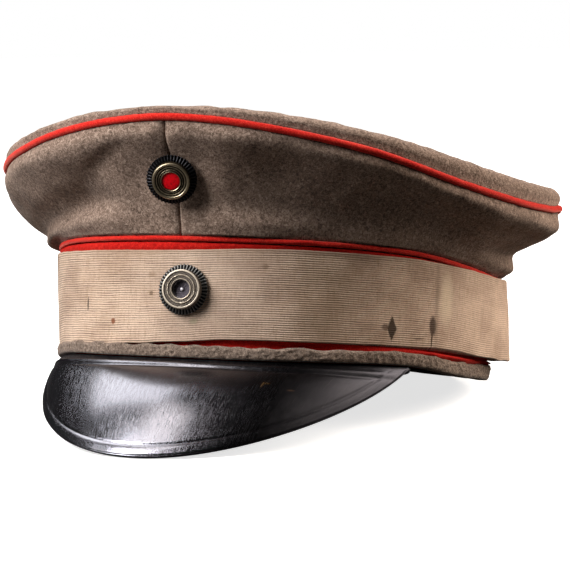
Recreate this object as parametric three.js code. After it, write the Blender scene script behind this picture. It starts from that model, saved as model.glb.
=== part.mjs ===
// A visor cap: a flaring cloth crown with a corded seam, a red band under a ribbed cover tape,
// a grey welt round the lower edge, a hard black visor and two round cockades.
//
// Millimetres, +Z up, front of the cap to -Y, the wearer's left to +X. The cap is shaped upright
// about the middle of its head opening, z = 0 at the underside of the welt in front, and is then
// tipped back onto its visor tip and rear rim, as it stands by itself on a table.

import * as THREE from 'three';

// ---------------------------------------------------------------- driving sizes
const HALF_LENGTH = 101.8;      // red band, outer face, front to back
const HALF_WIDTH = 86.3;        // red band, outer face, side to side
const EGG = 0.03;               // how much narrower the front half of the oval is
const STATIONS = 64;            // sections round the head
const GAP = 0.3;                // clearance between neighbouring pieces

const CLOTH = 2.0;              // crown cloth with its padding
const BAND_WALL = 2.4;          // red band over its stiff core
const TAPE_WALL = 1.0;          // ribbed cover tape
const CROWN_CORD = 1.6;         // radius of the cord round the crown seam
const BAND_CORD = 1.2;          // radius of the cord over the band
const WELT_FACE = 2.0;          // welt outer face, out from the band
const WELT_FOLD = 1.2;          // thickness of the welt under the band
const PUFF_SHARE = 0.085;       // share of the top's radius that rounds over at its edge
const TOP_CENTRE = { y: 4.0, z: 80.0 };

const VISOR = {
  halfAngle: 58.8,              // where each end meets the band
  thick: 2.2,
  anchor: 1.1,                  // ends, out from the band
  tipY: -135.0,
  tipZ: -36.4,
  reachPower: 1.27,             // how the rim sweeps forward
  dropPower: 1.09,              // how the rim sweeps down
  nipLeft: 0.077,               // drawn in at the sides, wearer's left and right
  nipRight: 0.01,
  bulge: 4.5,                   // convexity over the straight chord
};

const COCKADE = {
  radius: 9.4, teeth: 40, toothDepth: 0.5, plate: 1.2,
  ringBore: 3.35, centreRadius: 3.0, centreRise: 1.0,
};
// turn: degrees from square to the band towards the wearer's left; follow: share of the wall's slope
const LOWER_COCKADE = { angle: 1.6, up: 24.6, turn: 4, seat: 0.5, ringRadius: 7.35, ringRise: 2.5 };
const UPPER_COCKADE = {
  angle: -0.2, up: 65.0, turn: 15, seat: 2.6, follow: 0.75, ringRadius: 7.05, ringRise: 1.9,
};

const REST = { tilt: 10.93, x: 0.64, y: 1.92, z: 11.57 };   // tipped back, then set down

// ---------------------------------------------------------------- sections round the head
// Angles in degrees from the front, the wearer's left positive. "Out" is measured outward from
// the band's oval, "Up" from the underside of the welt in front.
const CROWN = columns(
  ['angle', 'neckOut', 'neckUp', 'creaseOut', 'creaseUp', 'flareOut', 'flareUp',
    'bellyOut', 'bellyUp', 'seamOut', 'seamUp', 'puff'],
  [
    [-180, 2.2, 46.5, 2.5, 51.5, 11.3, 55.8, 20.6, 63.0, 21.2, 70.0, 8.2],
    [-140, 2.2, 46.3, 2.6, 51.5, 11.3, 56.0, 20.6, 63.5, 21.2, 71.0, 8.5],
    [-100, 3.0, 45.6, 3.7, 49.8, 12.0, 54.4, 21.2, 63.5, 22.0, 72.6, 9.0],
    [-80, 4.0, 45.4, 5.2, 48.8, 13.2, 53.6, 22.0, 64.0, 22.9, 74.1, 9.0],
    [-60, 5.0, 46.9, 5.6, 50.6, 13.2, 56.0, 21.8, 65.0, 22.7, 74.5, 8.3],
    [-50, 4.2, 48.2, 5.2, 53.0, 13.6, 59.6, 21.2, 67.4, 22.5, 76.0, 7.4],
    [-40, 3.6, 49.4, 3.6, 55.2, 13.8, 62.8, 21.0, 70.4, 22.4, 77.6, 6.6],
    [-30, 4.8, 50.0, 1.8, 57.0, 13.6, 65.0, 21.6, 71.8, 22.1, 80.2, 6.2],
    [-20, 4.4, 50.6, 4.4, 58.0, 14.0, 67.4, 20.8, 74.4, 21.7, 82.6, 5.9],
    [-10, 3.4, 49.8, 6.0, 57.4, 12.8, 68.6, 20.2, 76.8, 21.5, 84.4, 5.2],
    [0, 3.0, 49.4, 5.6, 57.4, 12.4, 69.2, 20.0, 77.6, 21.4, 85.2, 4.8],
    [10, 3.0, 49.2, 4.2, 56.4, 11.4, 68.6, 19.8, 77.2, 21.5, 84.2, 5.6],
    [20, 3.6, 49.2, 3.4, 54.4, 11.2, 66.8, 20.0, 76.2, 21.6, 82.0, 6.8],
    [40, 2.8, 48.0, 5.0, 54.0, 12.4, 62.8, 21.0, 71.0, 21.4, 76.2, 8.4],
    [60, 3.0, 46.6, 5.6, 50.8, 11.8, 57.4, 20.8, 64.0, 21.2, 68.6, 10.6],
    [78, 2.4, 44.2, 5.2, 47.4, 12.2, 53.0, 20.4, 59.4, 21.2, 65.4, 10.5],
    [95, 2.8, 44.0, 3.4, 48.8, 12.8, 54.0, 20.8, 58.8, 21.2, 66.4, 9.8],
    [110, 3.8, 44.2, 3.5, 50.6, 11.4, 56.0, 21.2, 61.6, 21.2, 69.7, 8.3],
    [140, 3.0, 45.6, 3.0, 51.0, 11.0, 56.0, 21.0, 62.4, 21.2, 70.0, 8.0],
  ],
);
const BAND = columns(
  ['angle', 'rim', 'top', 'taper', 'cordOut', 'weltUp'],
  [
    [-180, 6.0, 41.5, 6.5, -1.6, 5.8],
    [-140, 3.2, 41.2, 5.5, -1.5, 5.4],
    [-100, 0.2, 41.0, 4.4, -1.3, 4.8],
    [-80, 0.8, 41.2, 3.8, -0.9, 4.6],
    [-60, 1.6, 43.4, 3.0, -0.2, 4.6],
    [-40, 1.9, 43.7, 1.4, 0.4, 4.6],
    [-20, 0.7, 43.2, 0.4, 0.5, 4.6],
    [0, 0.0, 42.8, 0.0, 0.5, 4.6],
    [20, -0.2, 42.7, 0.0, 0.5, 4.7],
    [40, 0.5, 42.9, 0.0, 0.5, 4.8],
    [60, 1.1, 42.4, 0.5, 0.2, 5.0],
    [78, -0.9, 40.2, 2.5, -0.9, 5.6],
    [95, -0.6, 38.6, 5.0, -1.6, 6.0],
    [110, 0.0, 38.9, 7.0, -1.6, 6.2],
    [140, 2.8, 40.2, 8.5, -1.6, 6.2],
  ],
);
const TAPE = columns(
  ['angle', 'lowUp', 'lowOut', 'highUp', 'highOut'],
  [
    [-180, 12.0, 1.6, 42.5, 1.4],
    [-140, 10.0, 0.4, 42.2, 1.4],
    [-100, 7.4, -1.8, 40.8, 1.4],
    [-80, 7.4, -1.6, 40.6, 1.4],
    [-60, 7.2, -1.1, 41.6, 1.3],
    [-40, 6.9, 0.2, 40.5, 1.3],
    [-20, 5.9, 1.0, 39.6, 1.3],
    [0, 6.5, 1.3, 39.2, 1.3],
    [20, 7.0, 1.3, 40.4, 1.3],
    [40, 7.4, 1.3, 40.9, 1.3],
    [60, 7.7, 1.3, 41.0, 1.4],
    [78, 7.2, 1.8, 39.9, 1.4],
    [95, 7.2, 2.8, 39.2, 1.4],
    [110, 8.1, 3.8, 40.4, 1.4],
    [140, 10.2, 3.4, 42.4, 1.4],
  ],
);

/** Reads a table of sections: a function per column gives its smooth value at any angle. */
function columns(names, rows) {
  const angles = rows.map((row) => row[0]);
  const count = rows.length;
  const turn = (i) => Math.floor(i / count) * 360;
  const angleAt = (i) => angles[((i % count) + count) % count] + turn(i);
  const reader = {};
  names.slice(1).forEach((name, k) => {
    const valueAt = (i) => rows[((i % count) + count) % count][k + 1];
    reader[name] = (angle) => {
      const a = THREE.MathUtils.euclideanModulo(angle + 180, 360) - 180;
      let i = count - 1;
      while (angles[i] > a) i -= 1;
      const step = angleAt(i + 1) - angleAt(i);
      const t = (a - angleAt(i)) / step;
      const slopeIn = ((valueAt(i + 1) - valueAt(i - 1)) / (angleAt(i + 1) - angleAt(i - 1))) * step;
      const slopeOut = ((valueAt(i + 2) - valueAt(i)) / (angleAt(i + 2) - angleAt(i))) * step;
      return hermite(valueAt(i), valueAt(i + 1), slopeIn, slopeOut, t);
    };
  });
  return reader;
}

function hermite(from, to, slopeIn, slopeOut, t) {
  const t2 = t * t;
  const t3 = t2 * t;
  return (2 * t3 - 3 * t2 + 1) * from + (t3 - 2 * t2 + t) * slopeIn
    + (3 * t2 - 2 * t3) * to + (t3 - t2) * slopeOut;
}

/** A point beside the band's oval: an angle, a distance out from the oval and a height. */
function place(angle, out, up) {
  const a = THREE.MathUtils.degToRad(angle);
  const x = HALF_WIDTH * (1 - EGG * Math.cos(a)) * Math.sin(a);
  const y = -HALF_LENGTH * Math.cos(a);
  const dx = HALF_WIDTH * (Math.cos(a) - EGG * Math.cos(2 * a));
  const dy = HALF_LENGTH * Math.sin(a);
  const length = Math.hypot(dx, dy);
  return new THREE.Vector3(x + (out * dy) / length, y - (out * dx) / length, up);
}

/** Raises a point of soft cloth that would lie below the table to the table's plane. */
function settleOnTable(point) {
  const tilt = THREE.MathUtils.degToRad(REST.tilt);
  const table = (point.y * Math.sin(tilt) - REST.z) / Math.cos(tilt);
  return point.setZ(Math.max(point.z, table));
}

/** How far the band's wall is drawn in at a height. */
function drawnIn(angle, up) {
  const rim = BAND.rim(angle);
  return (BAND.taper(angle) * (BAND.top(angle) - up)) / (BAND.top(angle) - rim);
}

// ---------------------------------------------------------------- closed bodies
/** Collects triangles of points into one closed geometry, leaving out those with no area. */
function bodyOf(triangles) {
  const positions = [];
  for (const [a, b, c] of triangles) {
    const flat = a.distanceTo(b) < 1e-6 || b.distanceTo(c) < 1e-6 || c.distanceTo(a) < 1e-6;
    if (!flat) positions.push(...a.toArray(), ...b.toArray(), ...c.toArray());
  }
  const geometry = new THREE.BufferGeometry();
  geometry.setAttribute('position', new THREE.Float32BufferAttribute(positions, 3));
  geometry.computeVertexNormals();
  return geometry;
}

/** Two triangles over each cell between neighbouring rows of points. */
function skin(rows, closeAcross = false) {
  const triangles = [];
  for (let i = 0; i + 1 < rows.length; i += 1) {
    const count = rows[i].length;
    for (let j = 0; j < (closeAcross ? count : count - 1); j += 1) {
      const k = (j + 1) % count;
      triangles.push([rows[i][j], rows[i + 1][k], rows[i + 1][j]]);
      triangles.push([rows[i][j], rows[i][k], rows[i + 1][k]]);
    }
  }
  return triangles;
}

/** A wall swept round the head. section(angle) lists its [out, up] corners, top first. */
function ring(section, settle = (point) => point) {
  const rows = [];
  for (let i = 0; i < STATIONS; i += 1) {
    const angle = -180 + (360 * i) / STATIONS;
    rows.push(section(angle).map(([out, up]) => settle(place(angle, out, up))));
  }
  rows.push(rows[0]);
  return bodyOf(skin(rows, true));
}

/** A wall swept from one angle to another, with flat ends. */
function arc(section, from, to) {
  const steps = Math.round((STATIONS * (to - from)) / 360);
  const rows = [];
  for (let i = 0; i <= steps; i += 1) {
    const angle = from + ((to - from) * i) / steps;
    rows.push(section(angle).map(([out, up]) => place(angle, out, up)));
  }
  return bodyOf([...skin(rows, true), ...wallEnd(rows[0], false), ...wallEnd(rows.at(-1), true)]);
}

/** Closes the end of a wall whose outer and inner corners pair up from the two ends of the list. */
function wallEnd(corners, last) {
  const triangles = [];
  const half = corners.length / 2;
  for (let j = 0; j + 1 < half; j += 1) {
    const [a, b] = [corners[j], corners[j + 1]];
    const [c, d] = [corners[corners.length - 2 - j], corners[corners.length - 1 - j]];
    triangles.push(last ? [a, b, c] : [a, c, b], last ? [a, c, d] : [a, d, c]);
  }
  return triangles;
}

/** A round cord beside the oval. */
function cord(out, up, radius, sides = 6) {
  return ring((angle) => {
    const corners = [];
    for (let k = 0; k < sides; k += 1) {
      const turn = (2 * Math.PI * k) / sides;
      corners.push([out(angle) + radius * Math.cos(turn), up(angle) - radius * Math.sin(turn)]);
    }
    return corners;
  });
}

// ---------------------------------------------------------------- crown
const CROWN_STEPS = [0, 0.09, 0.18, 0.27, 0.36, 0.45, 0.54, 0.63, 0.72, 0.81, 0.91, 1];

/** The crown wall's outer line from the band cord up to the crown seam. */
function crownLine(angle) {
  const knots = [
    [BAND.cordOut(angle) + 1.3, BAND.top(angle) + 2 * BAND_CORD],
    [CROWN.neckOut(angle), CROWN.neckUp(angle)],
    [CROWN.creaseOut(angle), CROWN.creaseUp(angle)],
    [CROWN.flareOut(angle), CROWN.flareUp(angle)],
    [CROWN.bellyOut(angle), CROWN.bellyUp(angle)],
    [CROWN.seamOut(angle) - GAP, CROWN.seamUp(angle) - CROWN_CORD - GAP],
  ].map(([out, up]) => new THREE.Vector3(out, up, 0));
  return new THREE.CatmullRomCurve3(knots, false, 'centripetal');
}

/** The crown wall's section: its outer line upward, then the inner line back down. */
function crownSection(angle) {
  const line = crownLine(angle);
  const highest = line.getPoint(1).y;
  const outer = [];
  const inner = [];
  for (const t of CROWN_STEPS) {
    const point = line.getPoint(t);
    const along = line.getTangent(t);
    outer.push([point.x, Math.min(point.y, highest)]);
    inner.unshift([point.x - CLOTH * along.y, Math.min(point.y + CLOTH * along.x, highest)]);
  }
  return [...outer, ...inner].reverse();
}

/** A point of the crown's top: share 0 at its edge, 1 in the middle, deep below the surface. */
function topPoint(angle, share, deep) {
  const edge = place(angle, CROWN.seamOut(angle) - GAP - deep, 0);
  const low = CROWN.seamUp(angle) + CROWN_CORD + GAP;
  const high = CROWN.seamUp(angle) + CROWN.puff(angle) - deep;
  const over = Math.min(share / PUFF_SHARE, 1);
  const rounded = low + (high - low) * Math.sqrt(1 - (1 - over) ** 2);
  const inward = share * share * (3 - 2 * share);
  return new THREE.Vector3(
    edge.x * (1 - share),
    edge.y * (1 - share) + TOP_CENTRE.y * share,
    rounded * (1 - inward) + (TOP_CENTRE.z - deep) * inward,
  );
}

function crownTop() {
  const shares = [0, 0.3 * PUFF_SHARE, PUFF_SHARE, 0.22, 0.45, 0.72, 1];
  const inside = [0, 0.3 * PUFF_SHARE, PUFF_SHARE, 0.22, 0.45, 0.72, 1];
  const rows = [];
  for (let i = 0; i <= STATIONS; i += 1) {
    const angle = i === STATIONS ? -180 : -180 + (360 * i) / STATIONS;
    rows.push([
      ...inside.map((share) => topPoint(angle, share, CLOTH)).reverse(),
      ...shares.map((share) => topPoint(angle, share, 0)),
    ]);
  }
  return bodyOf(skin(rows.reverse()));
}

// ---------------------------------------------------------------- band, tape and welt
function bandSection(angle) {
  const low = BAND.rim(angle) + WELT_FOLD + GAP;
  const high = BAND.top(angle) - 0.6;
  const lowOut = -drawnIn(angle, low);
  const highOut = -drawnIn(angle, high);
  return [[highOut, high], [lowOut, low], [lowOut - BAND_WALL, low], [highOut - BAND_WALL, high]];
}

function tapeSection(angle) {
  const [low, lowOut] = [TAPE.lowUp(angle), TAPE.lowOut(angle)];
  const [high, highOut] = [TAPE.highUp(angle), TAPE.highOut(angle)];
  return [[highOut, high], [lowOut, low], [lowOut - TAPE_WALL, low], [highOut - TAPE_WALL, high]];
}

/** The welt hugs the band's face and folds under its lower edge, where it is pressed flat. */
function weltSection(angle) {
  const rim = BAND.rim(angle);
  const height = BAND.weltUp(angle);
  const corner = (out, up) => [out - drawnIn(angle, rim + up), rim + up];
  return [
    corner(WELT_FACE - 0.4, height),
    corner(WELT_FACE, height - 1.0),
    corner(WELT_FACE, 0.9),
    corner(WELT_FACE - 0.8, 0),
    corner(-BAND_WALL, 0),
    corner(-BAND_WALL, WELT_FOLD),
    corner(GAP, WELT_FOLD),
    corner(GAP, height),
  ];
}

// ---------------------------------------------------------------- visor
/** The visor's free rim. side runs from -1 to 1, from the wearer's right to the left. */
function visorRim(side) {
  const end = VISOR.halfAngle * Math.sign(side || 1);
  const rim = BAND.rim(end);
  const anchor = place(end, VISOR.anchor - drawnIn(end, rim), rim - GAP);
  const turn = (side * Math.PI) / 2;
  const forward = Math.abs(Math.cos(turn));
  const nip = side > 0 ? VISOR.nipLeft : VISOR.nipRight;
  return new THREE.Vector3(
    Math.abs(anchor.x) * Math.sin(turn) * (1 - nip * forward),
    anchor.y + (VISOR.tipY - anchor.y) * forward ** VISOR.reachPower,
    anchor.z + (VISOR.tipZ - anchor.z) * forward ** VISOR.dropPower,
  );
}

/** The visor's upper face: along 0 to 1 runs from under the welt's face out to the rim. */
function visorFace(side, along) {
  const angle = side * VISOR.halfAngle;
  const rim = BAND.rim(angle);
  const base = place(angle, -drawnIn(angle, rim), rim - GAP);
  const chord = visorRim(side).sub(base);
  const flat = Math.max(Math.hypot(chord.x, chord.y), 1e-6);
  const lift = new THREE.Vector3(-chord.z * (chord.x / flat), -chord.z * (chord.y / flat), flat).normalize();
  const forward = Math.abs(Math.cos((side * Math.PI) / 2));
  const bulge = VISOR.bulge * forward * Math.sin(Math.PI * along ** 0.8);
  return base.addScaledVector(chord, along).addScaledVector(lift, bulge);
}

function visor() {
  const across = 32;
  const alongs = [0, 0.12, 0.26, 0.42, 0.6, 0.8, 1];
  const top = [];
  const under = [];
  for (let i = 0; i <= across; i += 1) {
    const side = Math.sin(((i / across) * 2 - 1) * Math.PI / 2);
    const angle = side * VISOR.halfAngle;
    const rim = BAND.rim(angle);
    const flange = place(angle, -BAND_WALL - drawnIn(angle, rim), rim - GAP);
    const faces = alongs.map((along) => visorFace(side, along));
    top.push([flange, ...faces]);
    under.push([
      flange.clone().setZ(flange.z - VISOR.thick),
      ...alongs.map((along) => underside(side, along)),
    ]);
  }
  const section = top.map((row, i) => [...row, ...under[i].slice().reverse()]);
  const cells = skin(section, true);
  return bodyOf([...cells, ...wallEnd(section[0], false), ...wallEnd(section.at(-1), true)]);
}

/** The visor's lower face, one thickness under the upper one. */
function underside(side, along) {
  const step = 0.01;
  const point = visorFace(side, along);
  const before = visorFace(side, Math.max(along - step, 0));
  const after = visorFace(side, Math.min(along + step, 1));
  const left = visorFace(Math.max(side - step, -1), along);
  const right = visorFace(Math.min(side + step, 1), along);
  const normal = right.sub(left).cross(before.sub(after));
  if (normal.length() < 1e-6) normal.set(0, 0, 1);
  normal.normalize();
  if (normal.z < 0) normal.negate();
  const share = Math.min(along / 0.12, 1) * Math.min((1 - Math.abs(side)) / 0.05, 1);
  normal.lerp(new THREE.Vector3(0, 0, 1), 1 - share).normalize();
  return point.addScaledVector(normal, -VISOR.thick);
}

// ---------------------------------------------------------------- cockades
function toothedPlate() {
  const shape = new THREE.Shape();
  const points = [];
  for (let k = 0; k < COCKADE.teeth * 2; k += 1) {
    const turn = (Math.PI * k) / COCKADE.teeth;
    const radius = COCKADE.radius - (k % 2 ? COCKADE.toothDepth : 0);
    points.push(new THREE.Vector2(radius * Math.cos(turn), radius * Math.sin(turn)));
  }
  shape.setFromPoints(points);
  return new THREE.ExtrudeGeometry(shape, { depth: COCKADE.plate, bevelEnabled: false });
}

/** A turned piece about the cockade's axis, which is +Z here, from its [radius, rise] profile. */
function turned(profile, sides) {
  const points = profile.map(([radius, rise]) => new THREE.Vector2(radius, rise));
  return new THREE.LatheGeometry(points, sides).rotateX(Math.PI / 2);
}

function cockadeRing({ ringRadius: outer, ringRise: rise }) {
  const bore = COCKADE.ringBore;
  return turned([
    [bore, 0], [outer, 0], [outer, 0.6 * rise], [outer - 0.9, rise], [bore + 0.6, rise],
    [bore, 0.8 * rise], [bore, 0],
  ], 20);
}

function cockadeCentre() {
  const { centreRadius: radius, centreRise: rise } = COCKADE;
  return turned([[0, 0], [radius, 0], [radius, 0.7 * rise], [0.5 * radius, rise], [0, rise]], 16);
}

/** A cockade of its own sizes, whose back lies on a point, its axis along outward. */
function cockade(name, sizes, point, outward, colours) {
  const group = new THREE.Group();
  const onPlate = COCKADE.plate + GAP;
  group.add(piece(`${name}_rosette`, toothedPlate(), colours.rosette));
  const metal = piece(`${name}_ring`, cockadeRing(sizes), colours.ring);
  const centre = piece(`${name}_center`, cockadeCentre(), colours.centre);
  metal.position.z = onPlate;
  centre.position.z = onPlate;
  group.add(metal, centre);
  group.position.copy(point);
  group.quaternion.setFromUnitVectors(new THREE.Vector3(0, 0, 1), outward);
  return group;
}

/** Outward direction square to the oval. */
function outwardAt(angle) {
  return place(angle, 1, 0).sub(place(angle, 0, 0));
}

/** Outward direction square to the oval, turned about the upright by some degrees. */
function turnedOutward(angle, turn) {
  return outwardAt(angle).applyAxisAngle(new THREE.Vector3(0, 0, 1), THREE.MathUtils.degToRad(turn));
}

function lowerCockade(colours) {
  const { angle, up, turn, seat } = LOWER_COCKADE;
  const share = (up - TAPE.lowUp(angle)) / (TAPE.highUp(angle) - TAPE.lowUp(angle));
  const face = THREE.MathUtils.lerp(TAPE.lowOut(angle), TAPE.highOut(angle), share);
  const back = place(angle, face + seat, up);
  return cockade('lower_cockade', LOWER_COCKADE, back, turnedOutward(angle, turn), colours);
}

function upperCockade(colours) {
  const { angle, up, turn, seat, follow } = UPPER_COCKADE;
  const line = crownLine(angle);
  let t = 0;
  while (line.getPoint(t).y < up) t += 0.001;
  const point = line.getPoint(t);
  const along = line.getTangent(t);
  const outward = turnedOutward(angle, turn).multiplyScalar(along.y).setZ(-follow * along.x).normalize();
  const back = place(angle, point.x, point.y).addScaledVector(outward, seat);
  return cockade('upper_cockade', UPPER_COCKADE, back, outward, colours);
}

// ---------------------------------------------------------------- assembly
const MATERIALS = {
  greyCloth: material(0x6f655b, 0.95),
  redCloth: material(0xc0201c, 0.85),
  tape: material(0xbfa689, 0.9),
  visor: material(0x1d1b1c, 0.25),
  rosette: material(0x23252b, 0.5, 0.6),
  silver: material(0x9a958c, 0.35, 1.0),
  brass: material(0x8d8471, 0.3, 1.0),
  granulated: material(0x5a5a5c, 0.55, 1.0),
  redEnamel: material(0xb8101c, 0.15),
};

function material(color, roughness, metalness = 0) {
  return new THREE.MeshStandardMaterial({ color, roughness, metalness });
}

function piece(name, geometry, look) {
  const mesh = new THREE.Mesh(geometry, look);
  mesh.name = name;
  return mesh;
}

const cap = new THREE.Group();
const SEAM = 0.1;               // half the front and back seams' gap, in degrees
cap.add(
  piece('crown_top', crownTop(), MATERIALS.greyCloth),
  piece('crown_side_left', arc(crownSection, SEAM, 180 - SEAM), MATERIALS.greyCloth),
  piece('crown_side_right', arc(crownSection, -180 + SEAM, -SEAM), MATERIALS.greyCloth),
  piece('crown_piping', cord(CROWN.seamOut, CROWN.seamUp, CROWN_CORD), MATERIALS.redCloth),
  piece('band_piping', cord(BAND.cordOut, (a) => BAND.top(a) + 0.9, BAND_CORD), MATERIALS.redCloth),
  piece('band', ring(bandSection), MATERIALS.redCloth),
  piece('cover_tape', ring(tapeSection), MATERIALS.tape),
  piece('rim_welt', ring(weltSection, settleOnTable), MATERIALS.greyCloth),
  piece('visor', visor(), MATERIALS.visor),
  upperCockade({ rosette: MATERIALS.rosette, ring: MATERIALS.brass, centre: MATERIALS.redEnamel }),
  lowerCockade({ rosette: MATERIALS.rosette, ring: MATERIALS.silver, centre: MATERIALS.granulated }),
);
cap.rotation.x = THREE.MathUtils.degToRad(-REST.tilt);
cap.position.set(REST.x, REST.y, REST.z);

const group = new THREE.Group();
group.add(cap);
group.updateMatrixWorld(true);

export default group;
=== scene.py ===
"""A visor cap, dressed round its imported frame.

Every form is worked out in millimetres in the cap's own upright frame: the wearer's left is +x,
the front is -y, and height zero is the underside of the welt in front. Rest then tips the points
back onto the table and turns them to metres, which is where the frame's solids stand.
"""

from __future__ import annotations

import logging
import math
from dataclasses import dataclass, field
from enum import Enum
from types import MappingProxyType
from typing import Any, Callable, ClassVar, Iterator, Mapping, Optional, Sequence, Union

import bmesh
import bpy
import numpy as np
from mathutils import Matrix, Vector

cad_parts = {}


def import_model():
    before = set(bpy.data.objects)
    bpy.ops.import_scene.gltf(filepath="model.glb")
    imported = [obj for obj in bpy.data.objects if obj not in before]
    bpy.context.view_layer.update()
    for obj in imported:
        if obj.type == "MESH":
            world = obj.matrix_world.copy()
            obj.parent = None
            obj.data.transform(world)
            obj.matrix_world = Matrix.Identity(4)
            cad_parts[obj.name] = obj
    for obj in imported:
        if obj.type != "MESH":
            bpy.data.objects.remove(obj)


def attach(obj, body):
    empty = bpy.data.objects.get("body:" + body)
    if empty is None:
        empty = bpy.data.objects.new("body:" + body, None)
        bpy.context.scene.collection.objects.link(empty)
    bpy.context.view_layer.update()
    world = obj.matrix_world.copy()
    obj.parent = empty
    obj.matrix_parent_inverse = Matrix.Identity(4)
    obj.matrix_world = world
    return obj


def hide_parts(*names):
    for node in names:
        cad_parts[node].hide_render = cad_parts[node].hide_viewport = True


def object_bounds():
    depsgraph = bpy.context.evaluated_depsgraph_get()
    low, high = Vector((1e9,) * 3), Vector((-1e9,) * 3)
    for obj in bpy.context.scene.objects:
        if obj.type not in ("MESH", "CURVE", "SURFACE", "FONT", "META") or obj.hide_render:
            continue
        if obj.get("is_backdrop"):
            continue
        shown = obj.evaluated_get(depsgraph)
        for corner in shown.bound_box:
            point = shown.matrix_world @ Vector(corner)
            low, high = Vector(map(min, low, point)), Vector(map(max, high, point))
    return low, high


LOG = logging.getLogger("visor_cap")
BODY = "root"
MM = 0.001
SAME_POINT = 1e-6
Array = np.ndarray
Colour = tuple[float, float, float, float]
NOTHING: Mapping[Any, Any] = MappingProxyType({})


def paint(code: int) -> Colour:
    """Turns a hex paint code into the linear colour that the shader wants, by the sRGB curve.

    Args:
        code: red, green and blue, two hex digits each.

    Returns:
        The linear colour, opaque.
    """
    shares = [((code >> shift) & 255) / 255 for shift in (16, 8, 0)]
    red, green, blue = (s / 12.92 if s <= 0.04045 else ((s + 0.055) / 1.055) ** 2.4 for s in shares)
    return red, green, blue, 1.0


# ------------------------------------------------------------------ sections round the head
def hermite(start: Array, end: Array, slope_in: Array, slope_out: Array, t: Array) -> Array:
    """Cubic between two values with a slope at each: t runs from 0 to 1.

    Args:
        start: value at t = 0.
        end: value at t = 1.
        slope_in: slope at t = 0, for the whole step.
        slope_out: slope at t = 1, for the whole step.
        t: share of the step.

    Returns:
        The value at t.
    """
    square, cube = t * t, t * t * t
    return ((2 * cube - 3 * square + 1) * start + (cube - 2 * square + t) * slope_in
            + (3 * square - 2 * cube) * end + (cube - square) * slope_out)


class Columns:
    """A table of sections round the head, with named columns, read smoothly at any angle."""

    def __init__(self, names: str, rows: Sequence[Sequence[float]]) -> None:
        """Keeps the rows, two of them repeated at each end so that the turn closes.

        Args:
            names: the columns' names, the angle in degrees first.
            rows: a row for each section, from -180 degrees upward.
        """
        self.names = names.split()
        table = np.array(rows, float)
        turn = np.zeros(table.shape[1])
        turn[0] = 360
        self.table = np.concatenate([table[-2:] - turn, table, table[:2] + turn])

    def __call__(self, name: str, angle: Array) -> Array:
        """Reads one column: a cubic between sections, each slope that of its neighbours' chord.

        Args:
            name: the column.
            angle: degrees from the front, the wearer's left positive.

        Returns:
            The column's value at each angle.
        """
        turned = (np.asarray(angle, float) + 180) % 360 - 180
        knots, values = self.table[:, 0], self.table[:, self.names.index(name)]
        i = np.clip(np.searchsorted(knots, turned, side="right") - 1, 1, len(knots) - 3)
        step = knots[i + 1] - knots[i]
        slope_in = (values[i + 1] - values[i - 1]) / (knots[i + 1] - knots[i - 1]) * step
        slope_out = (values[i + 2] - values[i]) / (knots[i + 2] - knots[i]) * step
        return hermite(values[i], values[i + 1], slope_in, slope_out, (turned - knots[i]) / step)


CROWN = Columns(
    "angle neck_out neck_up crease_out crease_up flare_out flare_up "
    "belly_out belly_up seam_out seam_up puff",
    [
        [-180, 2.2, 46.5, 2.5, 51.5, 11.3, 55.8, 20.6, 63.0, 21.2, 70.0, 8.2],
        [-140, 2.2, 46.3, 2.6, 51.5, 11.3, 56.0, 20.6, 63.5, 21.2, 71.0, 8.5],
        [-100, 3.0, 45.6, 3.7, 49.8, 12.0, 54.4, 21.2, 63.5, 22.0, 72.6, 9.0],
        [-80, 4.0, 45.4, 5.2, 48.8, 13.2, 53.6, 22.0, 64.0, 22.9, 74.1, 9.0],
        [-60, 5.0, 46.9, 5.6, 50.6, 13.2, 56.0, 21.8, 65.0, 22.7, 74.5, 8.3],
        [-50, 4.2, 48.2, 5.2, 53.0, 13.6, 59.6, 21.2, 67.4, 22.5, 76.0, 7.4],
        [-40, 3.6, 49.4, 3.6, 55.2, 13.8, 62.8, 21.0, 70.4, 22.4, 77.6, 6.6],
        [-30, 4.8, 50.0, 1.8, 57.0, 13.6, 65.0, 21.6, 71.8, 22.1, 80.2, 6.2],
        [-20, 4.4, 50.6, 4.4, 58.0, 14.0, 67.4, 20.8, 74.4, 21.7, 82.6, 5.9],
        [-10, 3.4, 49.8, 6.0, 57.4, 12.8, 68.6, 20.2, 76.8, 21.5, 84.4, 5.2],
        [0, 3.0, 49.4, 5.6, 57.4, 12.4, 69.2, 20.0, 77.6, 21.4, 85.2, 4.8],
        [10, 3.0, 49.2, 4.2, 56.4, 11.4, 68.6, 19.8, 77.2, 21.5, 84.2, 5.6],
        [20, 3.6, 49.2, 3.4, 54.4, 11.2, 66.8, 20.0, 76.2, 21.6, 82.0, 6.8],
        [40, 2.8, 48.0, 5.0, 54.0, 12.4, 62.8, 21.0, 71.0, 21.4, 76.2, 8.4],
        [60, 3.0, 46.6, 5.6, 50.8, 11.8, 57.4, 20.8, 64.0, 21.2, 68.6, 10.6],
        [78, 2.4, 44.2, 5.2, 47.4, 12.2, 53.0, 20.4, 59.4, 21.2, 65.4, 10.5],
        [95, 2.8, 44.0, 3.4, 48.8, 12.8, 54.0, 20.8, 58.8, 21.2, 66.4, 9.8],
        [110, 3.8, 44.2, 3.5, 50.6, 11.4, 56.0, 21.2, 61.6, 21.2, 69.7, 8.3],
        [140, 3.0, 45.6, 3.0, 51.0, 11.0, 56.0, 21.0, 62.4, 21.2, 70.0, 8.0],
    ],
)
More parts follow.
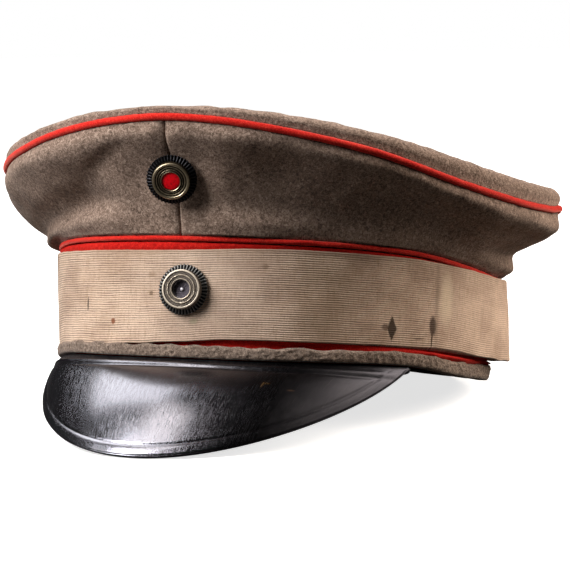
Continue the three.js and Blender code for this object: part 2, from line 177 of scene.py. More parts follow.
BAND = Columns(
    "angle rim top taper cord_out welt_up",
    [
        [-180, 6.0, 41.5, 6.5, -1.6, 5.8],
        [-140, 3.2, 41.2, 5.5, -1.5, 5.4],
        [-100, 0.2, 41.0, 4.4, -1.3, 4.8],
        [-80, 0.8, 41.2, 3.8, -0.9, 4.6],
        [-60, 1.6, 43.4, 3.0, -0.2, 4.6],
        [-40, 1.9, 43.7, 1.4, 0.4, 4.6],
        [-20, 0.7, 43.2, 0.4, 0.5, 4.6],
        [0, 0.0, 42.8, 0.0, 0.5, 4.6],
        [20, -0.2, 42.7, 0.0, 0.5, 4.7],
        [40, 0.5, 42.9, 0.0, 0.5, 4.8],
        [60, 1.1, 42.4, 0.5, 0.2, 5.0],
        [78, -0.9, 40.2, 2.5, -0.9, 5.6],
        [95, -0.6, 38.6, 5.0, -1.6, 6.0],
        [110, 0.0, 38.9, 7.0, -1.6, 6.2],
        [140, 2.8, 40.2, 8.5, -1.6, 6.2],
    ],
)
TAPE = Columns(
    "angle low_up low_out high_up high_out",
    [
        [-180, 12.0, 1.6, 42.5, 1.4],
        [-140, 10.0, 0.4, 42.2, 1.4],
        [-100, 7.4, -1.8, 40.8, 1.4],
        [-80, 7.4, -1.6, 40.6, 1.4],
        [-60, 7.2, -1.1, 41.6, 1.3],
        [-40, 6.9, 0.2, 40.5, 1.3],
        [-20, 5.9, 1.0, 39.6, 1.3],
        [0, 6.5, 1.3, 39.2, 1.3],
        [20, 7.0, 1.3, 40.4, 1.3],
        [40, 7.4, 1.3, 40.9, 1.3],
        [60, 7.7, 1.3, 41.0, 1.4],
        [78, 7.2, 1.8, 39.9, 1.4],
        [95, 7.2, 2.8, 39.2, 1.4],
        [110, 8.1, 3.8, 40.4, 1.4],
        [140, 10.2, 3.4, 42.4, 1.4],
    ],
)


@dataclass(frozen=True)
class HeadOval:
    """The band's outer line round the head, a little narrower in front."""

    half_length: float = 101.8
    half_width: float = 86.3
    egg: float = 0.03

    def outward(self, angle: Array) -> Array:
        """Direction square to the oval: the tangent turned a quarter turn outward.

        Args:
            angle: degrees from the front.

        Returns:
            Unit vectors, one for each angle.
        """
        a = np.radians(angle)
        dx = self.half_width * (np.cos(a) - self.egg * np.cos(2 * a))
        dy = self.half_length * np.sin(a)
        length = np.hypot(dx, dy)
        return np.stack([dy / length, -dx / length, 0 * a], -1)

    def beside(self, angle: Array, out: Array, up: Array) -> Array:
        """A point at an angle, a distance out from the oval and a height.

        Args:
            angle: degrees from the front.
            out: distance outward, square to the oval.
            up: height.

        Returns:
            Points in millimetres, the arguments' shapes broadcast together.
        """
        angle, out, up = np.broadcast_arrays(*(np.asarray(v, float) for v in (angle, out, up)))
        a = np.radians(angle)
        x = self.half_width * (1 - self.egg * np.cos(a)) * np.sin(a)
        base = np.stack([x, -self.half_length * np.cos(a), up], -1)
        return base + self.outward(angle) * out[..., None]

    def run(self, angle: Array) -> Array:
        """Length along the oval from the front, by adding up short chords.

        Args:
            angle: degrees from the front.

        Returns:
            Millimetres, the wearer's left positive.
        """
        fine = np.linspace(-200, 200, 4001)
        line = self.beside(fine, 0, 0)
        sums = np.concatenate([[0], np.cumsum(np.linalg.norm(np.diff(line, axis=0), axis=-1))])
        return np.interp(angle, fine, sums - np.interp(0, fine, sums))


@dataclass(frozen=True)
class Rest:
    """How the upright cap is tipped back and set down on the table."""

    tilt: float = 10.93
    x: float = 0.64
    y: float = 1.92
    z: float = 11.57

    def turn(self, points: Array) -> Array:
        """Turns directions or points back about the x axis by the tilt.

        Args:
            points: directions or points of the upright cap.

        Returns:
            The same, tipped back.
        """
        c, s = math.cos(math.radians(self.tilt)), math.sin(math.radians(self.tilt))
        x, y, z = np.moveaxis(np.asarray(points, float), -1, 0)
        return np.stack([x, y * c + z * s, z * c - y * s], -1)

    def stand(self, points: Array) -> Array:
        """Puts points of the upright cap where the frame has them, in metres."""
        return (self.turn(points) + [self.x, self.y, self.z]) * MM

    def table_height(self, y: Array) -> Array:
        """The table's height in the upright cap's frame, at a distance back."""
        tilt = math.radians(self.tilt)
        return (y * math.sin(tilt) - self.z) / math.cos(tilt)


OVAL = HeadOval()
REST = Rest()
BAND_CORD_RISE = 0.65


class Wander:
    """Smooth seeded unevenness in space: a sum of plane waves of about one length."""

    def __init__(self, seed: int, length: float, waves: int = 20) -> None:
        """Draws the waves.

        Args:
            seed: the draw's seed.
            length: the middle wavelength, in millimetres.
            waves: how many waves are added up.
        """
        rng = np.random.default_rng(seed)
        ways = rng.normal(size=(waves, 3))
        ways /= np.linalg.norm(ways, axis=1, keepdims=True)
        self.ways = ways * (2 * math.pi / (length * rng.uniform(0.7, 1.5, (waves, 1))))
        self.phases = rng.uniform(0, 2 * math.pi, waves)

    def __call__(self, points: Array) -> Array:
        """Adds up the waves' sines and divides by the square root of their number.

        Args:
            points: places, in millimetres.

        Returns:
            A height at each, mostly between -1 and 1.
        """
        total = np.zeros(points.shape[:-1])
        for way, phase in zip(self.ways, self.phases):
            total += np.sin(points @ way + phase)
        return total / math.sqrt(len(self.phases))


def bump_at(distance: Array, width: float) -> Array:
    """A smooth bell of height 1 where distance is 0: exp of minus its square over width's."""
    return np.exp(-(np.asarray(distance, float) / width) ** 2)


def ease(value: Array, start: float, end: float) -> Array:
    """Runs smoothly from 0 at start to 1 at end: 3t squared less 2t cubed."""
    t = np.clip((np.asarray(value, float) - start) / (end - start), 0, 1)
    return t * t * (3 - 2 * t)


# ------------------------------------------------------------------ meshes
@dataclass
class Patch:
    """A grid of points, its rows along one way and its columns along the other, and its flat map."""

    points: Array
    flat: Array

    def faces(self, first: int) -> Array:
        """Corner numbers of each cell, turning left as seen from outside.

        Args:
            first: number of the patch's first point in its mesh.

        Returns:
            A row of four numbers for each cell.
        """
        rows, columns = self.points.shape[:2]
        i, j = np.meshgrid(np.arange(rows - 1), np.arange(columns - 1), indexing="ij")
        corner = first + i * columns + j
        cell = [corner, corner + columns, corner + columns + 1, corner + 1]
        return np.stack(cell, -1).reshape(-1, 4)


def closed_wall(loops: Array, flat: Array, ends: bool) -> list[Patch]:
    """A wall whose every section is a closed loop, with its ends shut where it has them.

    Args:
        loops: rows of sections, each a loop of points, the outer face first.
        flat: the flat map of those points.
        ends: whether the first and last sections are ends, to be shut by joining each point of
            the loop's first half to its partner in the second.

    Returns:
        The patches of a closed surface.
    """
    def wrap(grid: Array) -> Array:
        """Repeats the first column after the last."""
        return np.concatenate([grid, grid[:, :1]], axis=1)

    patches = [Patch(wrap(loops), wrap(flat))]
    if ends:
        half = loops.shape[1] // 2
        for row in (0, -1):
            pair = [np.stack([g[row, :half], g[row, ::-1][:half]]) for g in (loops, flat)]
            patches.append(Patch(*pair))
    return patches


def make_piece(name: str, patches: Sequence[Patch],
               sharp: Optional[float] = None) -> bpy.types.Object:
    """Makes a mesh object from patches: welds their seams and poles and turns faces outward.

    Args:
        name: the piece's name.
        patches: grids in millimetres in the cap's own frame.
        sharp: edges that turn by more than this many degrees stay sharp; None for none.

    Returns:
        The piece, at the origin, with its place in its mesh.
    """
    points, faces, corners, first = [], [], [], 0
    for patch in patches:
        cells = patch.faces(first)
        corners.append(patch.flat.reshape(-1, 2)[(cells - first).ravel()])
        faces.append(cells)
        points.append(REST.stand(patch.points.reshape(-1, 3)))
        first += len(points[-1])
    mesh = bpy.data.meshes.new(name)
    mesh.from_pydata(np.concatenate(points), [], np.concatenate(faces))
    flat_map = mesh.uv_layers.new(name="flat")
    flat_map.data.foreach_set("uv", np.concatenate(corners).astype(np.float32).ravel())
    work = bmesh.new()
    work.from_mesh(mesh)
    bmesh.ops.remove_doubles(work, verts=work.verts, dist=SAME_POINT)
    bmesh.ops.recalc_face_normals(work, faces=work.faces)
    work.to_mesh(mesh)
    work.free()
    mesh.shade_smooth()
    if sharp is not None:
        mesh.set_sharp_from_angle(angle=math.radians(sharp))
    piece = bpy.data.objects.new(name, mesh)
    bpy.context.scene.collection.objects.link(piece)
    return piece


def fit(piece: bpy.types.Object, look: bpy.types.Material, slot: str, node: str) -> bpy.types.Object:
    """Gives a piece its finish and its body, and hides the frame's solid that it stands for.

    Args:
        piece: the finished piece.
        look: its material.
        slot: the record's slot that the finish belongs to; it is not used.
        node: the frame's solid that the piece replaces.

    Returns:
        The same piece.
    """
    piece.data.materials.append(look)
    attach(piece, BODY)
    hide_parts(node)
    LOG.info("%s: %d faces, for %s", piece.name, len(piece.data.polygons), node)
    return piece


# ------------------------------------------------------------------ shader wiring
Value = Union["Wire", float, Sequence[float]]


class Board:
    """A node tree under one shader, and the one way to add a node to it."""

    def __init__(self, tree: bpy.types.NodeTree) -> None:
        """Starts from an emptied tree."""
        tree.nodes.clear()
        self.tree = tree

    def add(self, kind: str, settings: Mapping[str, Any] = NOTHING,
            inputs: Mapping[Any, Value] = NOTHING, output: Union[int, str] = 0) -> "Wire":
        """Adds a node: its settings first, then the values or links of its sockets.

        Args:
            kind: the node's type.
            settings: the node's properties; "stops" are a ramp's places and colours.
            inputs: a value or a wire for each socket, by name or number.
            output: the socket that the wire comes from.

        Returns:
            The wire from the node.
        """
        node = self.tree.nodes.new(kind)
        for key, value in settings.items():
            if key == "stops":
                stops = node.color_ramp.elements
                while len(stops) < len(value):
                    stops.new(0.5)
                for stop, (place, colour) in zip(stops, value):
                    stop.position, stop.color = place, colour
            else:
                setattr(node, key, value)
        for key, value in inputs.items():
            if isinstance(value, Wire):
                self.tree.links.new(value.socket, node.inputs[key])
            else:
                node.inputs[key].default_value = value
        return Wire(self, node.outputs[output] if node.outputs else node.inputs[0])

    def mix(self, first: Value, second: Value, share: Value, blend: str = "MIX") -> "Wire":
        """Mixes two colours by a share, in one of the Mix node's ways."""
        settings = {"data_type": "RGBA", "blend_type": blend, "clamp_factor": True}
        return self.add("ShaderNodeMix", settings, {0: share, 6: first, 7: second}, 2)

    def ramp(self, share: Value, *stops: tuple[float, Colour]) -> "Wire":
        """Reads a colour ramp at a share."""
        return self.add("ShaderNodeValToRGB", {"stops": stops}, {"Fac": share})

    def noise(self, where: "Wire", size: float, detail: float = 2.0, rough: float = 0.5,
              twist: float = 0.0, stretch: Sequence[float] = (1, 1, 1)) -> "Wire":
        """Noise whose grain has a size, in the units of where.

        Args:
            where: the coordinates.
            size: the grain's size.
            detail: how many finer layers are added.
            rough: how strong the finer layers are.
            twist: how far the noise distorts itself.
            stretch: how much finer the grain is along each axis.

        Returns:
            The noise, about one half on average.
        """
        scale = tuple(s / size for s in stretch)
        moved = self.add("ShaderNodeMapping", {}, {"Vector": where, "Scale": scale})
        return self.add("ShaderNodeTexNoise", {}, {"Vector": moved, "Scale": 1.0, "Detail": detail,
                                                   "Roughness": rough, "Distortion": twist})

    def space(self) -> "Wire":
        """The object's own coordinates, in metres."""
        return self.add("ShaderNodeTexCoord", output="Object")

    def flat(self) -> "Wire":
        """The piece's flat map."""
        return self.add("ShaderNodeUVMap", {"uv_map": "flat"})

    def axes(self, vector: "Wire") -> tuple["Wire", "Wire", "Wire"]:
        """Splits a vector into its three numbers."""
        split = self.add("ShaderNodeSeparateXYZ", {}, {0: vector})
        return tuple(Wire(self, socket) for socket in split.socket.node.outputs)

    def relief(self, height: "Wire", depth: float) -> "Wire":
        """A bumped normal from a height between 0 and 1, that many millimetres deep."""
        return self.add("ShaderNodeBump", {}, {"Height": height, "Distance": depth * MM,
                                               "Strength": 1.0})


def math_node(operation: str, swapped: bool = False) -> Callable[["Wire", Value], "Wire"]:
    """Makes one of Wire's operators: a Math node over the sign's two sides.

    Args:
        operation: the node's operation.
        swapped: whether the wire stands on the right of the sign.

    Returns:
        The operator's method.
    """
    def apply(wire: "Wire", other: Value) -> "Wire":
        """Adds the node, its inputs in the order of the two sides."""
        return wire.calculate(operation, *((other, wire) if swapped else (wire, other)))

    return apply


@dataclass(frozen=True)
class Wire:
    """A shader socket that takes part in expressions; each operation adds a Math node."""

    board: Board
    socket: bpy.types.NodeSocket

    def calculate(self, operation: str, *values: Value) -> "Wire":
        """Adds a Math node over the values."""
        return self.board.add("ShaderNodeMath", {"operation": operation}, dict(enumerate(values)))

    __add__ = math_node("ADD")
    __radd__ = math_node("ADD", swapped=True)
    __sub__ = math_node("SUBTRACT")
    __rsub__ = math_node("SUBTRACT", swapped=True)
    __mul__ = math_node("MULTIPLY")
    __rmul__ = math_node("MULTIPLY", swapped=True)
    __truediv__ = math_node("DIVIDE")
    __pow__ = math_node("POWER")

    def __abs__(self) -> "Wire":
        """This without its sign."""
        return self.calculate("ABSOLUTE", self)

    def sine(self) -> "Wire":
        """The sine of this, in radians."""
        return self.calculate("SINE", self)

    def over(self, start: float, end: float) -> "Wire":
        """Runs smoothly from 0 where this is start to 1 where it is end."""
        return self.board.add("ShaderNodeMapRange", {"interpolation_type": "SMOOTHSTEP"},
                              {"Value": self, "From Min": start, "From Max": end})

    def under(self, start: float, end: float) -> "Wire":
        """Runs smoothly from 1 where this is start to 0 where it is end."""
        return 1 - self.over(start, end)


def by_socket(values: Mapping[str, Value]) -> dict[str, Value]:
    """The same values by the sockets' own names, which have spaces for underscores."""
    return {key.replace("_", " "): value for key, value in values.items()}


class Finish:
    """A material under one Principled shader, whose steady values sit on its sockets."""

    def __init__(self, name: str, **steady: Value) -> None:
        """Makes the material.

        Args:
            name: the material's name.
            steady: values of the shader's sockets, their names with underscores for spaces.
        """
        self.material = bpy.data.materials.new(name)
        self.material.use_nodes = True
        self.board = Board(self.material.node_tree)
        self.sockets = by_socket(steady)

    def dress(self, **varying: Value) -> bpy.types.Material:
        """Adds the shader, with what varies over the surface linked to it.

        Args:
            varying: wires for the shader's sockets, their names with underscores for spaces.

        Returns:
            The finished material.
        """
        sockets = {**self.sockets, **by_socket(varying)}
        shader = self.board.add("ShaderNodeBsdfPrincipled", {}, sockets)
        self.board.add("ShaderNodeOutputMaterial", {}, {"Surface": shader})
        return self.material


# ------------------------------------------------------------------ finishes
@dataclass(frozen=True)
class WoolCloth:
    """Fulled wool: a short felted nap of light and dark curls, in slow patches of tone.

    A curl's size and the relief's depth are in millimetres; a hair's size is a share of a
    curl's, and the tone runs from dark to light over twice its reach, about one half.
    """

    name: str
    dark: int
    middle: int
    light: int
    curl: float
    depth: float
    sheen: float
    sheen_tint: int = 0xFFFFFF
    hair: float = 0.28
    patch: float = 17.0
    reach: float = 0.14

    def look(self) -> bpy.types.Material:
        """Builds the material: curls, hairs and patches added up for tone, the first two for relief.

        Returns:
            The material.
        """
        finish = Finish(self.name, Roughness=0.96, Sheen_Weight=self.sheen, Sheen_Roughness=0.45,
                        Sheen_Tint=paint(self.sheen_tint), Specular_IOR_Level=0.12)
        board = finish.board
        space = board.space()
        curls = board.noise(space, self.curl * MM, detail=2.5, rough=0.62, twist=1.2)
        hairs = board.noise(space, self.hair * self.curl * MM, detail=2.0, rough=0.6, twist=0.6)
        patches = board.noise(space, self.patch * MM, detail=3.0, rough=0.55)
        tone = 0.6 * curls + 0.28 * hairs + 0.12 * patches
        colour = board.ramp(tone, (0.5 - self.reach, paint(self.dark)), (0.5, paint(self.middle)),
                            (0.5 + self.reach, paint(self.light)))
        height = 0.7 * curls + 0.3 * hairs
        return finish.dress(Base_Color=colour, Normal=board.relief(height, self.depth))


class MarkShape(Enum):
    """The outline of a mark."""

    SPOT = "spot"
    DIAMOND = "diamond"


@dataclass(frozen=True)
class Mark:
    """A stain, thread or scuff, or a patch of painted shade or light: its middle along and up the
    surface, its half sizes and colour.

    It covers by its strength, and its edge runs over twice its softness, in half sizes.
    """

    run: float
    rise: float
    half_run: float
    half_rise: float
    colour: int
    strength: float = 1.0
    soft: float = 0.35
    shape: MarkShape = MarkShape.SPOT
    ragged_by: float = 0.8

    def mask(self, run: Wire, rise: Wire, ragged: Wire) -> Wire:
        """Where the mark shows: 1 inside its outline, worn off raggedly across its edge.

        A spot's edge is an ellipse, and a diamond's is where its two shares add up to 1.

        Args:
            run: distance along the surface.
            rise: distance up it.
            ragged: noise that breaks up the edge.

        Returns:
            The mark's strength at each point.
        """
        across = abs(run - self.run) / self.half_run
        upward = abs(rise - self.rise) / self.half_rise
        if self.shape is MarkShape.DIAMOND:
            distance = across + upward
        else:
            distance = (across * across + upward * upward) ** 0.5
        distance = distance + (ragged - 0.5) * self.ragged_by
        return distance.under(1 - self.soft, 1 + self.soft) * self.strength


@dataclass(frozen=True)
class RibbedTape:
    """Tan ribbed tape: painted shade in the furrows between ribs, uneven dye, dust, a few marks, and
    patches of painted shade and light.
    """

    name: str = "ribbed_tape"
    # the furrow's colour: painted shade between the ribs
    furrow: int = 0x3E2C1E
    rib: int = 0xE0C3AB
    rib_dull: int = 0xC2A48D
    marks: tuple[Mark, ...] = (
        Mark(-45.0, 14.0, 0.5, 2.4, 0x2A1C12, 0.9),
        Mark(-28.7, 8.1, 1.1, 1.1, 0x7C3F18, 0.9),
        Mark(-11.2, 18.1, 0.8, 0.8, 0x3E2412, 0.95),
        Mark(-11.2, 18.1, 1.6, 1.3, 0x9A7A58, 0.35, 0.6),
        Mark(-10.9, 24.8, 1.5, 0.9, 0x8A6A4A, 0.5, 0.6),
        Mark(6.3, 7.4, 1.4, 1.0, 0x86875E, 0.5, 0.6),
        Mark(31.5, 27.3, 1.6, 1.0, 0x7A5F48, 0.6, 0.2, MarkShape.DIAMOND),
        # painted shade: a broad darker patch on the tape's right front
        Mark(53.0, 18.0, 11.0, 22.0, 0x9C8468, 0.35, 0.7),
        Mark(82.2, 6.6, 2.2, 4.9, 0x33200F, 0.95, 0.2, MarkShape.DIAMOND),
        Mark(79.2, 7.0, 1.6, 1.2, 0x4A3020, 0.7, 0.4),
        Mark(102.8, 8.6, 1.9, 3.8, 0x3C2210, 0.92, 0.3),
        Mark(102.4, 3.2, 0.45, 3.4, 0x42280F, 0.9),
        Mark(95.3, 3.4, 2.6, 0.4, 0x4A3526, 0.6),
        # painted shade of a soft upright crease
        Mark(104.8, 17.0, 1.1, 17.0, 0x86705A, 0.4, 0.7),
        # painted light: a paler patch at the lit right end
        Mark(110.5, 20.0, 3.6, 9.0, 0xEAD6B8, 0.55, 0.6),
        # painted light: a paler pool on the tape round the lower cockade
        Mark(10.0, 17.0, 24.0, 26.0, 0xFFE9D8, 0.14, 0.8),
        # painted shadow along the tape's top edge, under the band's cord
        Mark(56.0, 33.8, 26.0, 1.8, 0x6E5040, 0.5, 0.6),
        # painted shade along the tape's top edge on the left
        Mark(-10.0, 33.8, 60.0, 1.1, 0x8A7058, 0.4, 0.6),
    )
    sway: float = 0.5
    # where and how far the furrows' painted shade fades towards the lit right end
    furrow_shade_fade_from: float = 104.0
    furrow_shade_fade_to: float = 110.0
    wear_and_shade_fade: float = 0.45
    depth: float = 0.12

    def look(self) -> bpy.types.Material:
        """Builds the material on the flat map, whose first number runs along the tape in
        millimetres and whose second counts the ribs upward.

        A furrow is 1 less the size of a half sine over a rib, narrowed by a power; its dark colour is
        painted shade, faded out towards the right end, which is painted as lit.

        Returns:
            The material.
        """
        finish = Finish(self.name, Roughness=0.82, Sheen_Weight=0.15, Sheen_Roughness=0.5,
                        Specular_IOR_Level=0.2)
        board = finish.board
        flat = board.flat()
        run, ribs, _ = board.axes(flat)

        def threads(along: float, upward: float, detail: float = 2.0, rough: float = 0.6) -> Wire:
            """Noise drawn out one way: how fine its grain is along the tape and up its ribs."""
            return board.noise(flat, 1.0, detail, rough, stretch=(along, upward, 1))

        # painted shade in the furrows, faded towards the lit right end
        furrow = (1 - abs(((ribs + self.sway * (threads(0.16, 0.5) - 0.5)) * math.pi).sine())) ** 1.5
        furrow = furrow * (1 - self.wear_and_shade_fade * run.over(self.furrow_shade_fade_from, self.furrow_shade_fade_to))
        uneven, slubs = threads(0.05, 0.45), threads(0.6, 1.1)
        warp, cells = threads(1.5, 0.12, 1.0, 0.5), threads(1.3, 1.0, 1.0, 0.5)
        patches = board.noise(flat, 24.0, detail=3.0, rough=0.6, stretch=(1, 0.9, 1))
        colour = board.mix(paint(self.rib_dull), paint(self.rib), patches.over(0.35, 0.65))
        for grain, start, end, share, shade in (
                (uneven, 0.25, 0.52, 0.45, (0.62, 0.58, 0.52, 1)),
                (slubs, 0.3, 0.5, 0.5, (0.7, 0.64, 0.58, 1)),
                (warp, 0.3, 0.5, 0.45, (0.74, 0.68, 0.6, 1))):
            colour = board.mix(colour, shade, grain.under(start, end) * share, "MULTIPLY")
        # the furrows' painted shade, broken up by the grain
        broken = (0.6 * uneven + 0.4 * cells).over(0.36, 0.62)
        colour = board.mix(colour, paint(self.furrow), furrow * (0.3 + 0.75 * broken))
        rise = ribs * CoverTape.pitch
        ragged = threads(1.6, 1.2)
        # stains, and patches of painted shade and light
        for mark in self.marks:
            colour = board.mix(colour, paint(mark.colour), mark.mask(run, rise, ragged))
        height = 0.55 * (1 - furrow) + 0.25 * warp + 0.2 * slubs
        return finish.dress(Base_Color=colour, Normal=board.relief(height, self.depth))


@dataclass(frozen=True)
class BlackFibre:
    """Lacquered fibre: fine crazing from head to rim, smears and scuffs, duller on one side."""

    name: str = "black_fibre"
    lacquer: int = 0x0D0C0E
    cloudy: int = 0x1C1B1D
    scuffs: tuple[Mark, ...] = (
        Mark(39.8, 14.3, 0.5, 1.3, 0x8A6A40, 0.6, 0.5),
        Mark(41.2, 13.6, 1.2, 0.35, 0x8A6A40, 0.5, 0.5),
        Mark(52.7, 15.8, 1.6, 0.35, 0x6A5038, 0.5, 0.6),
    )
    streak: int = 0x45413F
    dull_from: float = 10.0
    dull_to: float = 50.0
    dull: float = 0.85
    rough_from: float = 25.0
    rough_to: float = 80.0
    depth: float = 0.04

    def look(self) -> bpy.types.Material:
        """Builds the material on the flat map: millimetres across the visor and outward.

        Towards the wearer's left it grows duller, by its metal share, and rougher.

        Returns:
            The material.
        """
        finish = Finish(self.name, IOR=2.5, Specular_IOR_Level=0.5, Specular_Tint=paint(0xF4F2FF))
        board = finish.board
        flat = board.flat()
        crazing = board.noise(flat, 1.0, detail=3.0, rough=0.65, twist=0.9, stretch=(1.5, 0.16, 1))
        lines = abs(crazing - 0.5).under(0.0, 0.035)
        streaks = board.noise(flat, 1.0, detail=3.0, rough=0.6, twist=0.25, stretch=(2.0, 0.13, 1))
        smear = board.noise(flat, 9.0, detail=3.0, rough=0.6, twist=0.4)
        grain = board.noise(flat, 0.35)
        across, outward, _ = board.axes(flat)
        colour = board.mix(paint(self.lacquer), paint(self.cloudy), smear.over(0.45, 0.75))
        colour = board.mix(colour, paint(self.streak), streaks.over(0.58, 0.76) * 0.5)
        ragged = board.noise(flat, 1.2, detail=3.0, rough=0.6)
        for scuff in self.scuffs:
            colour = board.mix(colour, paint(scuff.colour), scuff.mask(across, outward, ragged))
        rough = 0.16 + 0.07 * smear + 0.06 * lines + 0.22 * across.over(self.rough_from, self.rough_to)
        metal = self.dull * across.over(self.dull_from, self.dull_to)
        height = 0.2 * (1 - lines) + 0.7 * streaks + 0.1 * grain
        return finish.dress(Base_Color=colour, Roughness=rough, Metallic=metal,
                            Normal=board.relief(height, self.depth))


@dataclass(frozen=True)
class OldMetal:
    """Plated metal: bright on its ridges and tarnished, and rougher, in its grooves."""

    name: str
    bright: int
    tarnish: int
    rough: float
    grain: float
    metal: float = 1.0
    groove_rough: float = 0.3
    depth: float = 0.02

    def look(self) -> bpy.types.Material:
        """Builds the material on the flat map, whose second number is how far a place stands
        proud, from 0 in a groove to 1 on a ridge.

        Returns:
            The material.
        """
        finish = Finish(self.name, Metallic=self.metal)
        board = finish.board
        _, proud, _ = board.axes(board.flat())
        spots = board.noise(board.space(), self.grain * MM, detail=3.0, rough=0.65)
        wear_and_shade_fade = (proud + 0.5 * (spots - 0.5)).over(0.25, 0.85)
        colour = board.mix(paint(self.tarnish), paint(self.bright), wear_and_shade_fade)
        rough = self.rough + self.groove_rough * (1 - wear_and_shade_fade)
        return finish.dress(Base_Color=colour, Roughness=rough, Normal=board.relief(spots, self.depth))


@dataclass(frozen=True)
class RedEnamel:
    """Translucent enamel with slow clouds and tiny pits."""

    name: str = "red_enamel"
    colour: int = 0xFF0018
    cloud: int = 0xB80012
    size: float = 0.9
    depth: float = 0.05

    def look(self) -> bpy.types.Material:
        """Builds the material: a deep red with slow clouds under a clear coat.

        Returns:
            The material.
        """
        finish = Finish(self.name, Coat_Weight=0.5, Coat_Roughness=0.06, Roughness=0.5,
                        Specular_IOR_Level=0.1)
        board = finish.board
        clouds = board.noise(board.space(), self.size * MM, detail=3.0, rough=0.6)
        colour = board.mix(paint(self.colour), paint(self.cloud), clouds.over(0.45, 0.8))
        return finish.dress(Base_Color=colour, Normal=board.relief(clouds, self.depth))


# ------------------------------------------------------------------ crown
@dataclass(frozen=True)
class Fold:
    """A swell or a hollow of the crown's side, drawn out one way.

    Its middle is at an angle and a height; its long way leans up towards the wearer's left.
    """

    name: str
    angle: float
    up: float
    lean: float
    half_length: float
    half_width: float
    rise: float

    def height(self, run: Array, up: Array) -> Array:
        """A bell of the fold's rise over an oval with its two half sizes.

        Args:
            run: distance along the band from the front.
            up: height.

        Returns:
            How far the fold lifts each point.
        """
        lean = math.radians(self.lean)
        right, rise = run - OVAL.run(self.angle), up - self.up
        along = right * math.cos(lean) + rise * math.sin(lean)
        across = rise * math.cos(lean) - right * math.sin(lean)
        return self.rise * bump_at(along, self.half_length) * bump_at(across, self.half_width)


